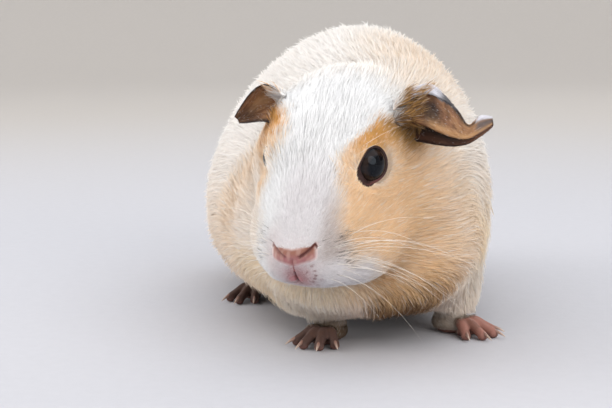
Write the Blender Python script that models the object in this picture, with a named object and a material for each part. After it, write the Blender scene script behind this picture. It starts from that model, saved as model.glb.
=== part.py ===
"""A young guinea pig, life size, standing with its head turned to its right.

The animal faces -Y, its left side is +X and the floor is z = 0. All sizes are in metres. The pieces
are shaped about a point between the feet, and then stood with the middle of the animal at the origin.
The solids give the outline of the coat. The flesh is shaped as one body and parted with thin cuts;
the feet, claws, ears and eyes are pieces of their own.
"""

import math

import bmesh
import bpy
from mathutils import Matrix, Vector

# ---------------------------------------------------------------- driving dimensions

GAP = 0.0003  # between pieces that meet
LEG_CUT_HEIGHT = 0.0070  # the legs and the belly's coat end here, and the feet begin
LEFT, RIGHT = 1, -1
STAND = Vector((0.0016, 0.0009, 0.0))  # brings the middle of the whole animal over the origin

# The head has a frame of its own: origin at the nose tip, X to its left, Y back, Z up.
NOSE_TIP = Vector((-0.0252, -0.0910, 0.0332))
HEAD_YAW = math.radians(24)  # turned towards the animal's right
HEAD_PITCH = math.radians(25)  # nose down
HEAD_TILT = math.radians(2.4)  # left ear down
HEAD_FRAME = (
    Matrix.Translation(NOSE_TIP)
    @ Matrix.Rotation(-HEAD_YAW, 4, "Z")
    @ Matrix.Rotation(HEAD_PITCH, 4, "X")
    @ Matrix.Rotation(HEAD_TILT, 4, "Y")
)

# Cross sections of the trunk, from the rump forwards:
# y, middle x, underside z, back z, half width
TRUNK_SECTIONS = (
    (0.0930, -0.0050, 0.0340, 0.0480, 0.0060),
    (0.0895, -0.0050, 0.0190, 0.0640, 0.0215),
    (0.0780, -0.0050, 0.0090, 0.0780, 0.0345),
    (0.0600, -0.0045, 0.0060, 0.0880, 0.0430),
    (0.0350, -0.0040, 0.0050, 0.0925, 0.0460),
    (0.0100, -0.0040, 0.0045, 0.0918, 0.0460),
    (-0.0150, -0.0035, 0.0045, 0.0885, 0.0435),
    (-0.0350, -0.0020, 0.0055, 0.0840, 0.0390),
    (-0.0500, -0.0015, 0.0075, 0.0770, 0.0325),
    (-0.0600, -0.0030, 0.0110, 0.0670, 0.0250),
    (-0.0670, -0.0040, 0.0240, 0.0520, 0.0120),
)
TRUNK_WIDEST = 0.35  # share of a section's height at which it is widest
TRUNK_FULLNESS = (1.06, 0.78)  # upper and lower half: 1 is an ellipse, less is fuller
TRUNK_LEAN = 0.0065  # how far the top of the back stands towards the left

# Cross sections of the head in its own frame, from the nose back:
# y, underside z, top z, half width
HEAD_SECTIONS = (
    (-0.0014, -0.0045, 0.0030, 0.0052),
    (0.0003, -0.0085, 0.0052, 0.0088),
    (0.0045, -0.0135, 0.0082, 0.0122),
    (0.0100, -0.0170, 0.0118, 0.0152),
    (0.0170, -0.0195, 0.0162, 0.0182),
    (0.0250, -0.0215, 0.0206, 0.0203),
    (0.0330, -0.0230, 0.0242, 0.0218),
    (0.0420, -0.0235, 0.0266, 0.0234),
    (0.0510, -0.0220, 0.0272, 0.0246),
    (0.0600, -0.0160, 0.0250, 0.0240),
    (0.0680, 0.0000, 0.0150, 0.0150),
)
HEAD_WIDEST = 0.42
HEAD_FULLNESS = (0.66, 0.92)

# Rounded masses that the body carries on both sides: centre for the left one, radii
CHEEK = (Vector((0.0105, 0.0300, -0.0065)), Vector((0.0125, 0.0250, 0.0150)))
WHISKER_PAD = (Vector((0.0062, 0.0080, -0.0055)), Vector((0.0078, 0.0095, 0.0078)))
NECK_RUFF = (Vector((-0.0050, -0.0470, 0.0510)), Vector((0.0315, 0.0280, 0.0330)))
HAUNCH = (Vector((0.0275, 0.0400, 0.0290)), Vector((0.0190, 0.0340, 0.0250)))
SHOULDER = (Vector((0.0225, -0.0330, 0.0350)), Vector((0.0170, 0.0220, 0.0260)))
MASS_MIDDLE = -0.0025  # the trunk's masses lie to both sides of this x

EYE_RADIUS = 0.0061
EYE_CENTRE = Vector((0.0118, 0.0280, 0.0137))  # the left eye's, in the head's frame
EYE_AXIS = Vector((0.853, -0.492, 0.174))  # the way the left eye looks
ORBIT_RADIUS = 0.0064  # the coat opens round the eye in a shallow bowl
ORBIT_OFFSET = 0.0060  # from the eye's centre to the bowl's, along the eye's axis
NOSTRIL = Vector((0.0019, 0.0016, 0.0007))  # radii
NOSTRIL_SLANT = math.radians(32)
LIP_CLEFT = Vector((0.0005, 0.0014, 0.0032))

# Toes of each foot, counted from its inner side: how far each turns outwards from where the foot
# points, in degrees, and its length
FORE_TOES = ((-34, 0.0085), (-11, 0.0105), (12, 0.0105), (36, 0.0085))
HIND_TOES = ((-19, 0.0115), (0, 0.0135), (20, 0.0115))
TOE_RADIUS = 0.0017
CLAW_RADIUS = 0.0009
CLAW_LENGTH = 0.0050

# Where each foot stands: side, wrist or ankle on the floor, way that it points (degrees outwards)
FOREFEET = {
    "forefoot_right": (RIGHT, Vector((-0.0128, -0.0460, 0.0)), 26),
    "forefoot_left": (LEFT, Vector((0.0250, -0.0370, 0.0)), 40),
}
HINDFEET = {
    "hindfoot_right": (RIGHT, Vector((-0.0275, 0.0320, 0.0)), 26),
    "hindfoot_left": (LEFT, Vector((0.0230, 0.0400, 0.0)), 14),
}

NECK_SLOPE = math.radians(-20)  # of the cut between neck and trunk

BODY_VOXEL = 0.0012
BODY_SMOOTHING = 28  # rounds of smoothing that melt the masses into each other
BODY_TRIANGLES = 2800
FOOT_VOXEL = 0.0005
FOOT_TRIANGLES = 330

# ---------------------------------------------------------------- materials


def material(name, colour, roughness):
    made = bpy.data.materials.new(name)
    made.use_nodes = True
    shader = made.node_tree.nodes["Principled BSDF"]
    shader.inputs["Base Color"].default_value = (*colour, 1.0)
    shader.inputs["Roughness"].default_value = roughness
    return made


# ---------------------------------------------------------------- building blocks


def catmull_rom(rows, steps):
    """Rows of numbers, with `steps` rows on a smooth curve for each stretch between two of them."""
    made = []
    last = len(rows) - 1
    for i in range(last):
        before, start, end, after = rows[max(i - 1, 0)], rows[i], rows[i + 1], rows[min(i + 2, last)]
        for k in range(steps):
            t = k / steps
            made.append(
                [
                    b + 0.5 * t * ((c - a) + t * ((2 * a - 5 * b + 4 * c - d) + t * (3 * (b - c) + d - a)))
                    for a, b, c, d in zip(before, start, end, after)
                ]
            )
    made.append(list(rows[last]))
    return made


def add_rings(bm, rings):
    """One closed surface through rings of equally many points, with a fan at each end."""
    loops = [[bm.verts.new(point) for point in ring] for ring in rings]
    count = len(loops[0])
    for first, second in zip(loops, loops[1:]):
        for i in range(count):
            j = (i + 1) % count
            bm.faces.new((first[i], first[j], second[j], second[i]))
    for loop, flip in ((loops[0], True), (loops[-1], False)):
        middle = bm.verts.new(sum((v.co for v in loop), Vector()) / count)
        for i in range(count):
            j = (i + 1) % count
            corners = (loop[i], loop[j], middle)
            bm.faces.new(corners[::-1] if flip else corners)


def bulge(value, fullness):
    """A sine or cosine made fuller: the sides of a section bulge out when fullness is below 1."""
    return math.copysign(abs(value) ** fullness, value)


def add_section_loft(bm, sections, widest, fullness, lean, frame, steps=5, around=36):
    """A surface through upright sections (y, middle x, low z, high z, half width)."""
    rings = []
    for y, middle, low, high, half in catmull_rom(sections, steps):
        level = low + widest * (high - low)
        ring = []
        for i in range(around):
            angle = math.tau * i / around
            up = math.sin(angle) > 0
            power = fullness[0] if up else fullness[1]
            rise = bulge(math.sin(angle), power)
            across = half * bulge(math.cos(angle), power) + lean * max(rise, 0.0)
            reach = (high - level) if up else (level - low)
            ring.append(frame @ Vector((middle + across, y, level + reach * rise)))
        rings.append(ring)
    add_rings(bm, rings)


def add_ellipsoid(bm, centre, radii, frame, segments=24, rings=14):
    scale = Matrix.Diagonal((*radii, 1.0))
    bmesh.ops.create_uvsphere(
        bm,
        u_segments=segments,
        v_segments=rings,
        radius=1.0,
        matrix=frame @ Matrix.Translation(centre) @ scale,
    )


def add_pair(bm, mass, frame):
    """The same ellipsoid on the left and on the right."""
    centre, radii = mass
    for side in (LEFT, RIGHT):
        add_ellipsoid(bm, Vector((side * centre.x, centre.y, centre.z)), radii, frame)


def add_tube(bm, points, radii, around=12):
    """A round limb through the points, with its radius at each, closed by half-round ends."""
    rows = catmull_rom([(*p, r) for p, r in zip(points, radii)], 4)
    line = [Vector(row[:3]) for row in rows]
    rings = []
    for i, row in enumerate(rows):
        along = (line[min(i + 1, len(line) - 1)] - line[max(i - 1, 0)]).normalized()
        turn = along.to_track_quat("Z", "Y").to_matrix()
        ends = [(0.0, 1.0)]
        if i == 0:
            ends = [(-0.85, 0.5), (-0.5, 0.85), (0.0, 1.0)]
        if i == len(rows) - 1:
            ends = [(0.0, 1.0), (0.5, 0.85), (0.85, 0.5)]
        for shift, share in ends:
            middle = line[i] + along * shift * row[3]
            radius = share * row[3]
            rings.append(
                [
                    middle + turn @ Vector((radius * math.cos(a), radius * math.sin(a), 0.0))
                    for a in (math.tau * k / around for k in range(around))
                ]
            )
    add_rings(bm, rings)


def object_of(bm, name):
    bmesh.ops.recalc_face_normals(bm, faces=bm.faces)
    mesh = bpy.data.meshes.new(name)
    bm.to_mesh(mesh)
    bm.free()
    made = bpy.data.objects.new(name, mesh)
    bpy.context.scene.collection.objects.link(made)
    return made


def settle(obj):
    """Gives the object the mesh that its modifiers make, and removes them."""
    bpy.context.view_layer.update()
    evaluated = obj.evaluated_get(bpy.context.evaluated_depsgraph_get())
    mesh = bpy.data.meshes.new_from_object(evaluated)
    obj.modifiers.clear()
    obj.data = mesh
    return obj


def melt(obj, voxel, smoothing, triangles):
    """Joins overlapping closed surfaces into one soft form with about so many triangles."""
    remesh = obj.modifiers.new("join", "REMESH")
    remesh.mode = "VOXEL"
    remesh.voxel_size = voxel
    smooth = obj.modifiers.new("soften", "SMOOTH")
    smooth.factor = 0.5
    smooth.iterations = smoothing
    settle(obj)
    obj.data.calc_loop_triangles()
    thin = obj.modifiers.new("thin", "DECIMATE")
    thin.ratio = triangles / len(obj.data.loop_triangles)
    thin.use_collapse_triangulate = True
    return settle(obj)


def combine(obj, other, operation):
    """Applies a Boolean of the other object's solid to this one."""
    cut = obj.modifiers.new(operation.lower(), "BOOLEAN")
    cut.operation = operation
    cut.object = other
    return settle(obj)


def copy_of(obj, name):
    made = bpy.data.objects.new(name, obj.data.copy())
    bpy.context.scene.collection.objects.link(made)
    return made


def grown(obj, amount):
    """A helper a little larger all round than the object, for cutting its neighbours clear of it."""
    made = copy_of(obj, obj.name + "_grown")
    push = made.modifiers.new("grow", "DISPLACE")
    push.strength = amount
    push.mid_level = 0.0
    return settle(made)


def discard(*objects):
    for obj in objects:
        bpy.data.objects.remove(obj)


def box(low, high, frame=Matrix(), name="box_cutter"):
    bm = bmesh.new()
    middle = (Vector(low) + Vector(high)) / 2
    size = Vector(high) - Vector(low)
    place = frame @ Matrix.Translation(middle) @ Matrix.Diagonal((*size, 1.0))
    bmesh.ops.create_cube(bm, size=1.0, matrix=place)
    return object_of(bm, name)


def ellipsoid(centre, radii, name="ellipsoid_cutter"):
    bm = bmesh.new()
    add_ellipsoid(bm, centre, radii, Matrix(), segments=14, rings=8)
    return object_of(bm, name)


def cut_flat(obj, height, keep_above):
    """Cuts the object level at a height, and closes the cut with a flat face."""
    bm = bmesh.new()
    bm.from_mesh(obj.data)
    cut = bmesh.ops.bisect_plane(
        bm,
        geom=bm.verts[:] + bm.edges[:] + bm.faces[:],
        dist=1e-6,
        plane_co=(0, 0, height),
        plane_no=(0, 0, 1),
        clear_inner=keep_above,
        clear_outer=not keep_above,
    )
    rim = [e for e in cut["geom_cut"] if isinstance(e, bmesh.types.BMEdge)]
    bmesh.ops.holes_fill(bm, edges=rim, sides=0)
    bmesh.ops.triangulate(bm, faces=bm.faces[:])
    bmesh.ops.recalc_face_normals(bm, faces=bm.faces)
    bm.to_mesh(obj.data)
    bm.free()


# ---------------------------------------------------------------- flesh


def whole_body():
    """Trunk, neck, head and legs as one soft form, out to the tips of the coat."""
    bm = bmesh.new()
    world = Matrix()
    trunk_frame = Matrix.Translation((MASS_MIDDLE, 0.0, 0.0))
    add_section_loft(bm, TRUNK_SECTIONS, TRUNK_WIDEST, TRUNK_FULLNESS, TRUNK_LEAN, world)
    head_sections = [(y, 0.0, low, high, half) for y, low, high, half in HEAD_SECTIONS]
    add_section_loft(bm, head_sections, HEAD_WIDEST, HEAD_FULLNESS, 0.0, HEAD_FRAME)
    for mass in (CHEEK, WHISKER_PAD):
        add_pair(bm, mass, HEAD_FRAME)
    for mass in (HAUNCH, SHOULDER):
        add_pair(bm, mass, trunk_frame)
    add_ellipsoid(bm, *NECK_RUFF, world)
    for side, wrist, _ in FOREFEET.values():
        elbow = Vector((side * 0.0220, -0.0300, 0.0280))
        line = (elbow, wrist.lerp(elbow, 0.45), wrist + Vector((0, 0, 0.0030)))
        add_tube(bm, line, (0.0150, 0.0120, 0.0082))
    for side, ankle, _ in HINDFEET.values():
        knee = Vector((side * 0.0300, 0.0280, 0.0260))
        line = (knee, ankle + Vector((0, 0, 0.0120)), ankle + Vector((0, 0, 0.0030)))
        add_tube(bm, line, (0.0180, 0.0125, 0.0080))
    body = melt(object_of(bm, "body"), BODY_VOXEL, BODY_SMOOTHING, BODY_TRIANGLES)
    cut_flat(body, LEG_CUT_HEIGHT, keep_above=True)
    return body


def regions():
    """Node name -> a function that makes its cutter, grown by the given amount."""

    def head(grow):
        low = Vector((-0.040, -0.010, -0.0260)) - Vector((grow, grow, grow))
        high = Vector((0.040, 0.0500, 0.040)) + Vector((grow, grow, grow))
        return box(low, high, HEAD_FRAME)

    def limb(centre, radii):
        return lambda grow: ellipsoid(centre, radii + Vector((grow, grow, grow)))

    def neck(grow):
        return box(
            (-0.060 - grow, -0.070 - grow, -0.0205 - grow),
            (0.060 + grow, grow, 0.060 + grow),
            Matrix.Translation((0.0, -0.0300, 0.0500)) @ Matrix.Rotation(NECK_SLOPE, 4, "X"),
        )

    made = {"head": head}
    for name, (side, wrist, _) in FOREFEET.items():
        centre = wrist + Vector((side * 0.0030, 0.0040, 0.0130))
        made[name.replace("forefoot", "foreleg")] = limb(centre, Vector((0.0130, 0.0155, 0.0190)))
    for name, (side, ankle, _) in HINDFEET.items():
        centre = Vector((side * 0.0370 + MASS_MIDDLE, ankle.y, 0.0270))
        made[name.replace("hindfoot", "thigh")] = limb(centre, Vector((0.0210, 0.0300, 0.0290)))
    made["neck"] = neck
    return made


def part_flesh(body):
    """Cuts each region out of what is left of the body. The trunk is the remainder."""
    nodes = {}
    remainder = copy_of(body, "trunk")
    for name, cutter in regions().items():
        inside = cutter(0.0)
        outside = cutter(GAP)
        piece = combine(copy_of(remainder, name), inside, "INTERSECT")
        combine(remainder, outside, "DIFFERENCE")
        discard(inside, outside)
        nodes[name] = piece
    nodes["trunk"] = remainder
    return nodes


# ---------------------------------------------------------------- eyes and face


def mirrored(point, side):
    return Vector((side * point.x, point.y, point.z))


def ball(side, centre, radius, name):
    """A sphere on one side of the head. `centre` is the left one's, in the head's frame."""
    bm = bmesh.new()
    place = Matrix.Translation(HEAD_FRAME @ mirrored(centre, side))
    bmesh.ops.create_uvsphere(bm, u_segments=16, v_segments=9, radius=radius, matrix=place)
    return object_of(bm, name)


def face_cutters():
    """Nostrils and the cleft of the upper lip, each a small closed shape across the surface."""
    shapes = [(Matrix.Translation((0.0, -0.0008, -0.0052)), LIP_CLEFT, "lip_cleft")]
    for side in (LEFT, RIGHT):
        place = Matrix.Translation((side * 0.0040, -0.0010, 0.0002))
        slant = Matrix.Rotation(-side * NOSTRIL_SLANT, 4, "Y")
        shapes.append((place @ slant, NOSTRIL, "nostril"))
    made = []
    for place, radii, name in shapes:
        bm = bmesh.new()
        add_ellipsoid(bm, Vector(), radii, HEAD_FRAME @ place, segments=8, rings=6)
        made.append(object_of(bm, name))
    return made


# ---------------------------------------------------------------- ears

# Sections of an ear from its root out to its tip: how far out, how far back, lower edge, upper edge,
# and how deep the cup is there
NEAR_EAR = (
    (-0.0040, 0.0000, -0.0040, 0.0105, 0.0075),
    (0.0010, 0.0010, -0.0030, 0.0128, 0.0078),
    (0.0060, 0.0015, -0.0022, 0.0138, 0.0072),
    (0.0105, 0.0005, -0.0012, 0.0122, 0.0060),
    (0.0150, -0.0010, -0.0004, 0.0092, 0.0046),
    (0.0195, -0.0030, 0.0006, 0.0056, 0.0030),
    (0.0228, -0.0015, 0.0020, 0.0060, 0.0018),
    (0.0256, 0.0008, 0.0046, 0.0066, 0.0006),
)
FAR_EAR = (
    (-0.0040, 0.0005, -0.0030, 0.0105, 0.0060),
    (0.0010, 0.0022, -0.0020, 0.0118, 0.0062),
    (0.0055, 0.0040, -0.0018, 0.0108, 0.0054),
    (0.0095, 0.0056, -0.0022, 0.0080, 0.0042),
    (0.0130, 0.0070, -0.0020, 0.0044, 0.0026),
    (0.0152, 0.0080, -0.0006, 0.0014, 0.0008),
)
EAR_ROOT = Vector((0.0195, 0.0430, 0.0150))  # the left ear's, in the head's frame
EAR_THICKNESS = 0.0008
EAR_SPREAD = math.radians(118)  # half the angle that the cup closes round


def ear(side, sections, name):
    """A thin cup, open to the front, that narrows to a drooping tip."""
    bm = bmesh.new()
    around = 9
    rows = []
    for out, back, low, high, depth in sections:
        row = []
        for k in range(around):
            angle = EAR_SPREAD * (2 * k / (around - 1) - 1)
            share = math.sin(angle) / math.sin(EAR_SPREAD / 2 + math.pi / 4)
            share = max(-1.0, min(1.0, share))
            up = (high + low) / 2 + (high - low) / 2 * share
            point = EAR_ROOT + Vector((out, back + depth * math.cos(angle), up))
            point.x *= side
            row.append(bm.verts.new(HEAD_FRAME @ point))
        rows.append(row)
    for first, second in zip(rows, rows[1:]):
        for i in range(around - 1):
            bm.faces.new((first[i], first[i + 1], second[i + 1], second[i]))
    made = object_of(bm, name)
    shell = made.modifiers.new("thickness", "SOLIDIFY")
    shell.thickness = EAR_THICKNESS
    shell.offset = 0.0
    return settle(made)


# ---------------------------------------------------------------- feet


def toe_line(side, root, heading, spread, length):
    """Points of a toe: it rises a little from the foot, and comes down to the floor at its tip."""
    angle = heading + side * math.radians(spread)
    ahead = Vector((math.sin(angle), -math.cos(angle), 0.0))
    start = root + ahead * 0.0020 + Vector((0, 0, 0.0030))
    middle = start + ahead * length * 0.55 + Vector((0, 0, 0.0006))
    end = start + ahead * length + Vector((0, 0, -0.0016))
    return ahead, (start, middle, end)


def claw(start, ahead, name):
    """A blunt cone that curves down to just above the floor."""
    bm = bmesh.new()
    steps, around = 2, 5
    rings = []
    for k in range(steps + 1):
        t = k / steps
        middle = start + ahead * CLAW_LENGTH * t + Vector((0, 0, -0.0007 * t * t))
        radius = CLAW_RADIUS * (1 - 0.8 * t)
        across = Vector((-ahead.y, ahead.x, 0.0))
        rings.append(
            [
                middle + across * radius * math.cos(a) + Vector((0, 0, radius * math.sin(a)))
                for a in (math.tau * i / around for i in range(around))
            ]
        )
    add_rings(bm, rings)
    return object_of(bm, name)


def foot(name, side, joint, points, toes, sole):
    """One foot with its claws. `joint` is the wrist or ankle, `points` degrees outwards, and
    `sole` the half length, half width and height of the part behind the toes."""
    heading = side * math.radians(points)
    ahead = Vector((math.sin(heading), -math.cos(heading), 0.0))
    half_length, half_width, height = sole
    turn = Matrix.Translation(joint) @ Matrix.Rotation(heading, 4, "Z")
    bm = bmesh.new()
    palm = Vector((half_width, half_length, height * 0.62))
    add_ellipsoid(bm, Vector((0, 0, height * 0.45)), palm, turn, 16, 10)
    add_tube(bm, (joint + Vector((0, 0, 0.0040)), joint + Vector((0, 0, 0.0120))), (0.0046, 0.0052))
    root = joint + ahead * (half_length - 0.0035)
    claws = []
    for number, (spread, length) in enumerate(toes, 1):
        way, line = toe_line(side, root, heading, spread, length)
        add_tube(bm, line, (TOE_RADIUS * 1.15, TOE_RADIUS * 1.05, TOE_RADIUS), 10)
        start = line[-1] + way * 0.0004 + Vector((0, 0, 0.0003))
        claws.append(claw(start, way, f"{name}_claw_{number}"))
    made = melt(object_of(bm, name), FOOT_VOXEL, 3, FOOT_TRIANGLES)
    cut_flat(made, 0.0, keep_above=True)
    cut_flat(made, LEG_CUT_HEIGHT - GAP, keep_above=False)
    for piece in claws:
        larger = grown(piece, GAP)
        combine(made, larger, "DIFFERENCE")
        discard(larger)
    return made, claws


# ---------------------------------------------------------------- the animal


def finish(obj, parent, look):
    obj.parent = parent
    obj.data.materials.clear()
    obj.data.materials.append(look)
    obj.data.shade_smooth()
    obj.data.set_sharp_from_angle(angle=math.radians(50))


def build():
    for obj in list(bpy.data.objects):
        bpy.data.objects.remove(obj)
    animal = bpy.data.objects.new("guinea_pig", None)
    bpy.context.scene.collection.objects.link(animal)
    cream_coat = material("cream_coat", (0.80, 0.66, 0.52), 0.75)
    face_coat = material("face_coat", (0.86, 0.76, 0.66), 0.70)
    ear_skin = material("ear_skin", (0.42, 0.25, 0.17), 0.55)
    foot_skin = material("foot_skin", (0.55, 0.33, 0.27), 0.55)
    claw_horn = material("claw_horn", (0.62, 0.47, 0.40), 0.35)
    eye_gloss = material("eye_gloss", (0.010, 0.008, 0.008), 0.05)

    body = whole_body()
    flesh = part_flesh(body)
    for name, piece in flesh.items():
        finish(piece, animal, face_coat if name == "head" else cream_coat)

    for side, name in ((LEFT, "eye_left"), (RIGHT, "eye_right")):
        eye = ball(side, EYE_CENTRE, EYE_RADIUS, name)
        finish(eye, animal, eye_gloss)
        socket = grown(eye, GAP)
        orbit = ball(side, EYE_CENTRE + EYE_AXIS * ORBIT_OFFSET, ORBIT_RADIUS, "orbit")
        for cutter in (socket, orbit):
            combine(flesh["head"], cutter, "DIFFERENCE")
        discard(socket, orbit)
    for cutter in face_cutters():
        combine(flesh["head"], cutter, "DIFFERENCE")
        discard(cutter)

    larger_body = grown(body, GAP)
    for side, sections, name in ((LEFT, NEAR_EAR, "ear_left"), (RIGHT, FAR_EAR, "ear_right")):
        flap = ear(side, sections, name)
        combine(flap, larger_body, "DIFFERENCE")
        finish(flap, animal, ear_skin)
    discard(larger_body, body)

    for feet, toes, sole in (
        (FOREFEET, FORE_TOES, (0.0062, 0.0048, 0.0062)),
        (HINDFEET, HIND_TOES, (0.0155, 0.0052, 0.0066)),
    ):
        for name, (side, joint, points) in feet.items():
            made, claws = foot(name, side, joint, points, toes, sole)
            finish(made, animal, foot_skin)
            for piece in claws:
                finish(piece, animal, claw_horn)
    animal.location = STAND


build()
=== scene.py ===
import math

import bmesh
import bpy
import numpy as np
from mathutils import Matrix, Vector
from mathutils.kdtree import KDTree


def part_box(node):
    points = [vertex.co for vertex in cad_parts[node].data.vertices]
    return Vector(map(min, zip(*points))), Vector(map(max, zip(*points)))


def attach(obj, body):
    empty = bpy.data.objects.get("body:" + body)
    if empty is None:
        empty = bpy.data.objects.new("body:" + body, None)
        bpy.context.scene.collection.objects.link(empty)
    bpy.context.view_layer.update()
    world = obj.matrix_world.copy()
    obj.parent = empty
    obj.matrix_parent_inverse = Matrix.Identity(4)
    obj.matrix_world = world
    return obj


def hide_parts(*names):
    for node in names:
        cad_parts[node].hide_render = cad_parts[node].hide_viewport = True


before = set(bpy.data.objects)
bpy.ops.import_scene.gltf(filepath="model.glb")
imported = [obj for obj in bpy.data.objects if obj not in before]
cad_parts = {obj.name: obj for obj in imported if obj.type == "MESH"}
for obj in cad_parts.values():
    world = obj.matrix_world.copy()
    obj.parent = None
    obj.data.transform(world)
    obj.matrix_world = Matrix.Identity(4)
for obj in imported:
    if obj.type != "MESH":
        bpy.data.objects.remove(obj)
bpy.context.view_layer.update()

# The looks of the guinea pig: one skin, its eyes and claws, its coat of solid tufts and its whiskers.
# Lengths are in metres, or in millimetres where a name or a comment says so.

RNG = np.random.default_rng(20)
MM = 0.001
LEFT, RIGHT = 1, -1
SIDES = {"left": LEFT, "right": RIGHT}

FLESH = ("head", "neck", "trunk", "thigh_left", "thigh_right", "foreleg_left", "foreleg_right")

# ---------------------------------------------------------------- the head's own frame

# Origin at the nose tip, X to the animal's left, Y back, Z up, as the solids were shaped.
HEAD_YAW = math.radians(24)
HEAD_PITCH = math.radians(25)
HEAD_TILT = math.radians(2.4)
BETWEEN_EYES = Vector((0.0, 28.0, 13.7)) * MM  # in the head's frame


def centre_of(node):
    low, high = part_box(node)
    return (low + high) / 2


HEAD_TURN = (
    Matrix.Rotation(-HEAD_YAW, 4, "Z")
    @ Matrix.Rotation(HEAD_PITCH, 4, "X")
    @ Matrix.Rotation(HEAD_TILT, 4, "Y")
)
EYES_MIDDLE = (centre_of("eye_left") + centre_of("eye_right")) / 2
NOSE_TIP = EYES_MIDDLE - HEAD_TURN @ BETWEEN_EYES
HEAD = Matrix.Translation(NOSE_TIP) @ HEAD_TURN
TURN = np.array(HEAD_TURN.to_3x3())
# Where the animal's own origin, between its feet, lies in the frame
STAND = NOSE_TIP - Vector((-25.2, -91.0, 33.2)) * MM


def to_head(points):
    """World points in metres -> millimetres in the head's frame."""
    return (points - np.array(NOSE_TIP)) @ TURN / MM


def from_head(points):
    return np.asarray(points) * MM @ TURN.T + np.array(NOSE_TIP)


def head_way(ways):
    """Directions in the head's frame -> world."""
    return np.asarray(ways) @ TURN.T


def smooth(value, low, high):
    """0 below low, 1 above high, with a soft step between them."""
    t = np.clip((value - low) / (high - low), 0.0, 1.0)
    return t * t * (3.0 - 2.0 * t)


def unit(vectors):
    return vectors / np.maximum(np.linalg.norm(vectors, axis=-1, keepdims=True), 1e-12)


def dot(a, b):
    return np.sum(a * b, axis=-1, keepdims=True)


def mix(a, b, share):
    share = np.asarray(share, float)
    if share.ndim == 1:
        share = share[:, None]
    return a + (b - a) * share


def swirl(points, size, seed, terms=7):
    """Smooth noise from about -1 to 1, whose features are about `size` metres across."""
    draw = np.random.default_rng(seed)
    total = np.zeros(len(points))
    for _ in range(terms):
        way = draw.normal(size=3)
        way *= draw.uniform(0.6, 1.6) * math.pi / size / np.linalg.norm(way)
        total += np.sin(points @ way + draw.uniform(0, math.tau))
    return total / math.sqrt(terms / 2) * 0.6


# ---------------------------------------------------------------- where the feet and the ears stand

# side, wrist or ankle on the floor, way that the foot points (degrees outwards), in millimetres
FORE_TOES = ((-34, 8.5), (-11, 10.5), (12, 10.5), (36, 8.5))
HIND_TOES = ((-19, 11.5), (0, 13.5), (20, 11.5))
TOE_RADIUS = 1.55
CLAW_RADIUS = 0.75
CLAW_LENGTH = 5.0
FEET = {
    "forefoot_right": (RIGHT, (-12.8, -46.0), 26, FORE_TOES, (6.2, 4.8, 6.2)),
    "forefoot_left": (LEFT, (25.0, -37.0), 40, FORE_TOES, (6.2, 4.8, 6.2)),
    "hindfoot_right": (RIGHT, (-27.5, 32.0), 26, HIND_TOES, (15.5, 5.2, 6.6)),
    "hindfoot_left": (LEFT, (23.0, 40.0), 14, HIND_TOES, (15.5, 5.2, 6.6)),
}

# The left ear's root in the head's frame
EAR_ROOT = np.array((19.5, 43.0, 18.0))
EAR_FRONT = np.array((19.0, 41.5, 23.0))

# ---------------------------------------------------------------- eyes and their lids, in the head's frame

EYE_RADIUS = (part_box("eye_left")[1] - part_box("eye_left")[0]).x / 2 / MM
EYE_OUT = 11.8  # millimetres from the head's middle
EYE_AXIS = np.array((0.853, -0.492, 0.174)) / np.linalg.norm((0.853, -0.492, 0.174))
# The lids' opening: angle round the eye's axis from the back, counted upwards, and how far from the
# axis the lids' edge stands there, in degrees
LID_OPENING = ((-160, 66), (-120, 40), (-85, 36), (-45, 37), (-5, 42), (32, 57), (75, 54), (115, 47), (160, 51))
LID_CORNER = math.radians(-158)  # where the bare dark skin in the eye's front corner lies, round the axis
LID_THICKNESS = 0.32
LID_EDGE = math.radians(4)


def eye_centre(side):
    return np.array((side * EYE_OUT, 28.0, 13.7))


def eye_angles(points, side):
    """Distance from the eye's centre, angle from its axis and angle round it, for points in the head's
    frame in millimetres."""
    mirror = np.array((side, 1.0, 1.0))
    local = (points - eye_centre(side)) * mirror
    reach = np.linalg.norm(local, axis=1)
    ways = local / np.maximum(reach, 1e-9)[:, None]
    back = unit(np.array((0.0, 1.0, 0.0)) - EYE_AXIS * EYE_AXIS[1])
    up = np.cross(back, EYE_AXIS)
    up *= np.sign(up[2])
    off = np.arccos(np.clip(ways @ EYE_AXIS, -1, 1))
    round_it = np.arctan2(ways @ up, ways @ back)
    return reach, off, round_it


def lid_edge(round_it):
    """The lids' edge, in radians from the eye's axis."""
    angles = np.radians([a for a, _ in LID_OPENING])
    edges = np.radians([e for _, e in LID_OPENING])
    angles = np.concatenate((angles - math.tau, angles, angles + math.tau))
    edges = np.concatenate((edges, edges, edges))
    base = np.interp(round_it, angles, edges)
    soft = sum(np.interp(round_it + shift, angles, edges) for shift in (-0.3, -0.15, 0.15, 0.3))
    return (base + soft) / 5


def lid_turn(round_it):
    """Angle from the lids' front corner."""
    return np.abs(np.angle(np.exp(1j * (round_it - LID_CORNER))))


def past_lid(reach, off, round_it):
    """How far past the lids' edge a place lies, in radians; the opening's front corner narrows outwards."""
    outside = np.clip(reach - EYE_RADIUS - 0.4, 0.0, 6.0)
    return off - lid_edge(round_it) + math.radians(12) * outside * bump(lid_turn(round_it), math.radians(55))


def near_eye(points):
    """Millimetres from the nearer eye's centre."""
    return np.minimum(
        np.linalg.norm(points - eye_centre(LEFT), axis=1),
        np.linalg.norm(points - eye_centre(RIGHT), axis=1),
    )


# ---------------------------------------------------------------- where the head begins, and the coat


def headness(points):
    """1 on the head, 0 on the body, for world points."""
    h = to_head(points)
    return (1 - smooth(h[:, 1], 44.0, 60.0)) * smooth(h[:, 2], -32.0, -22.0)


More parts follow.
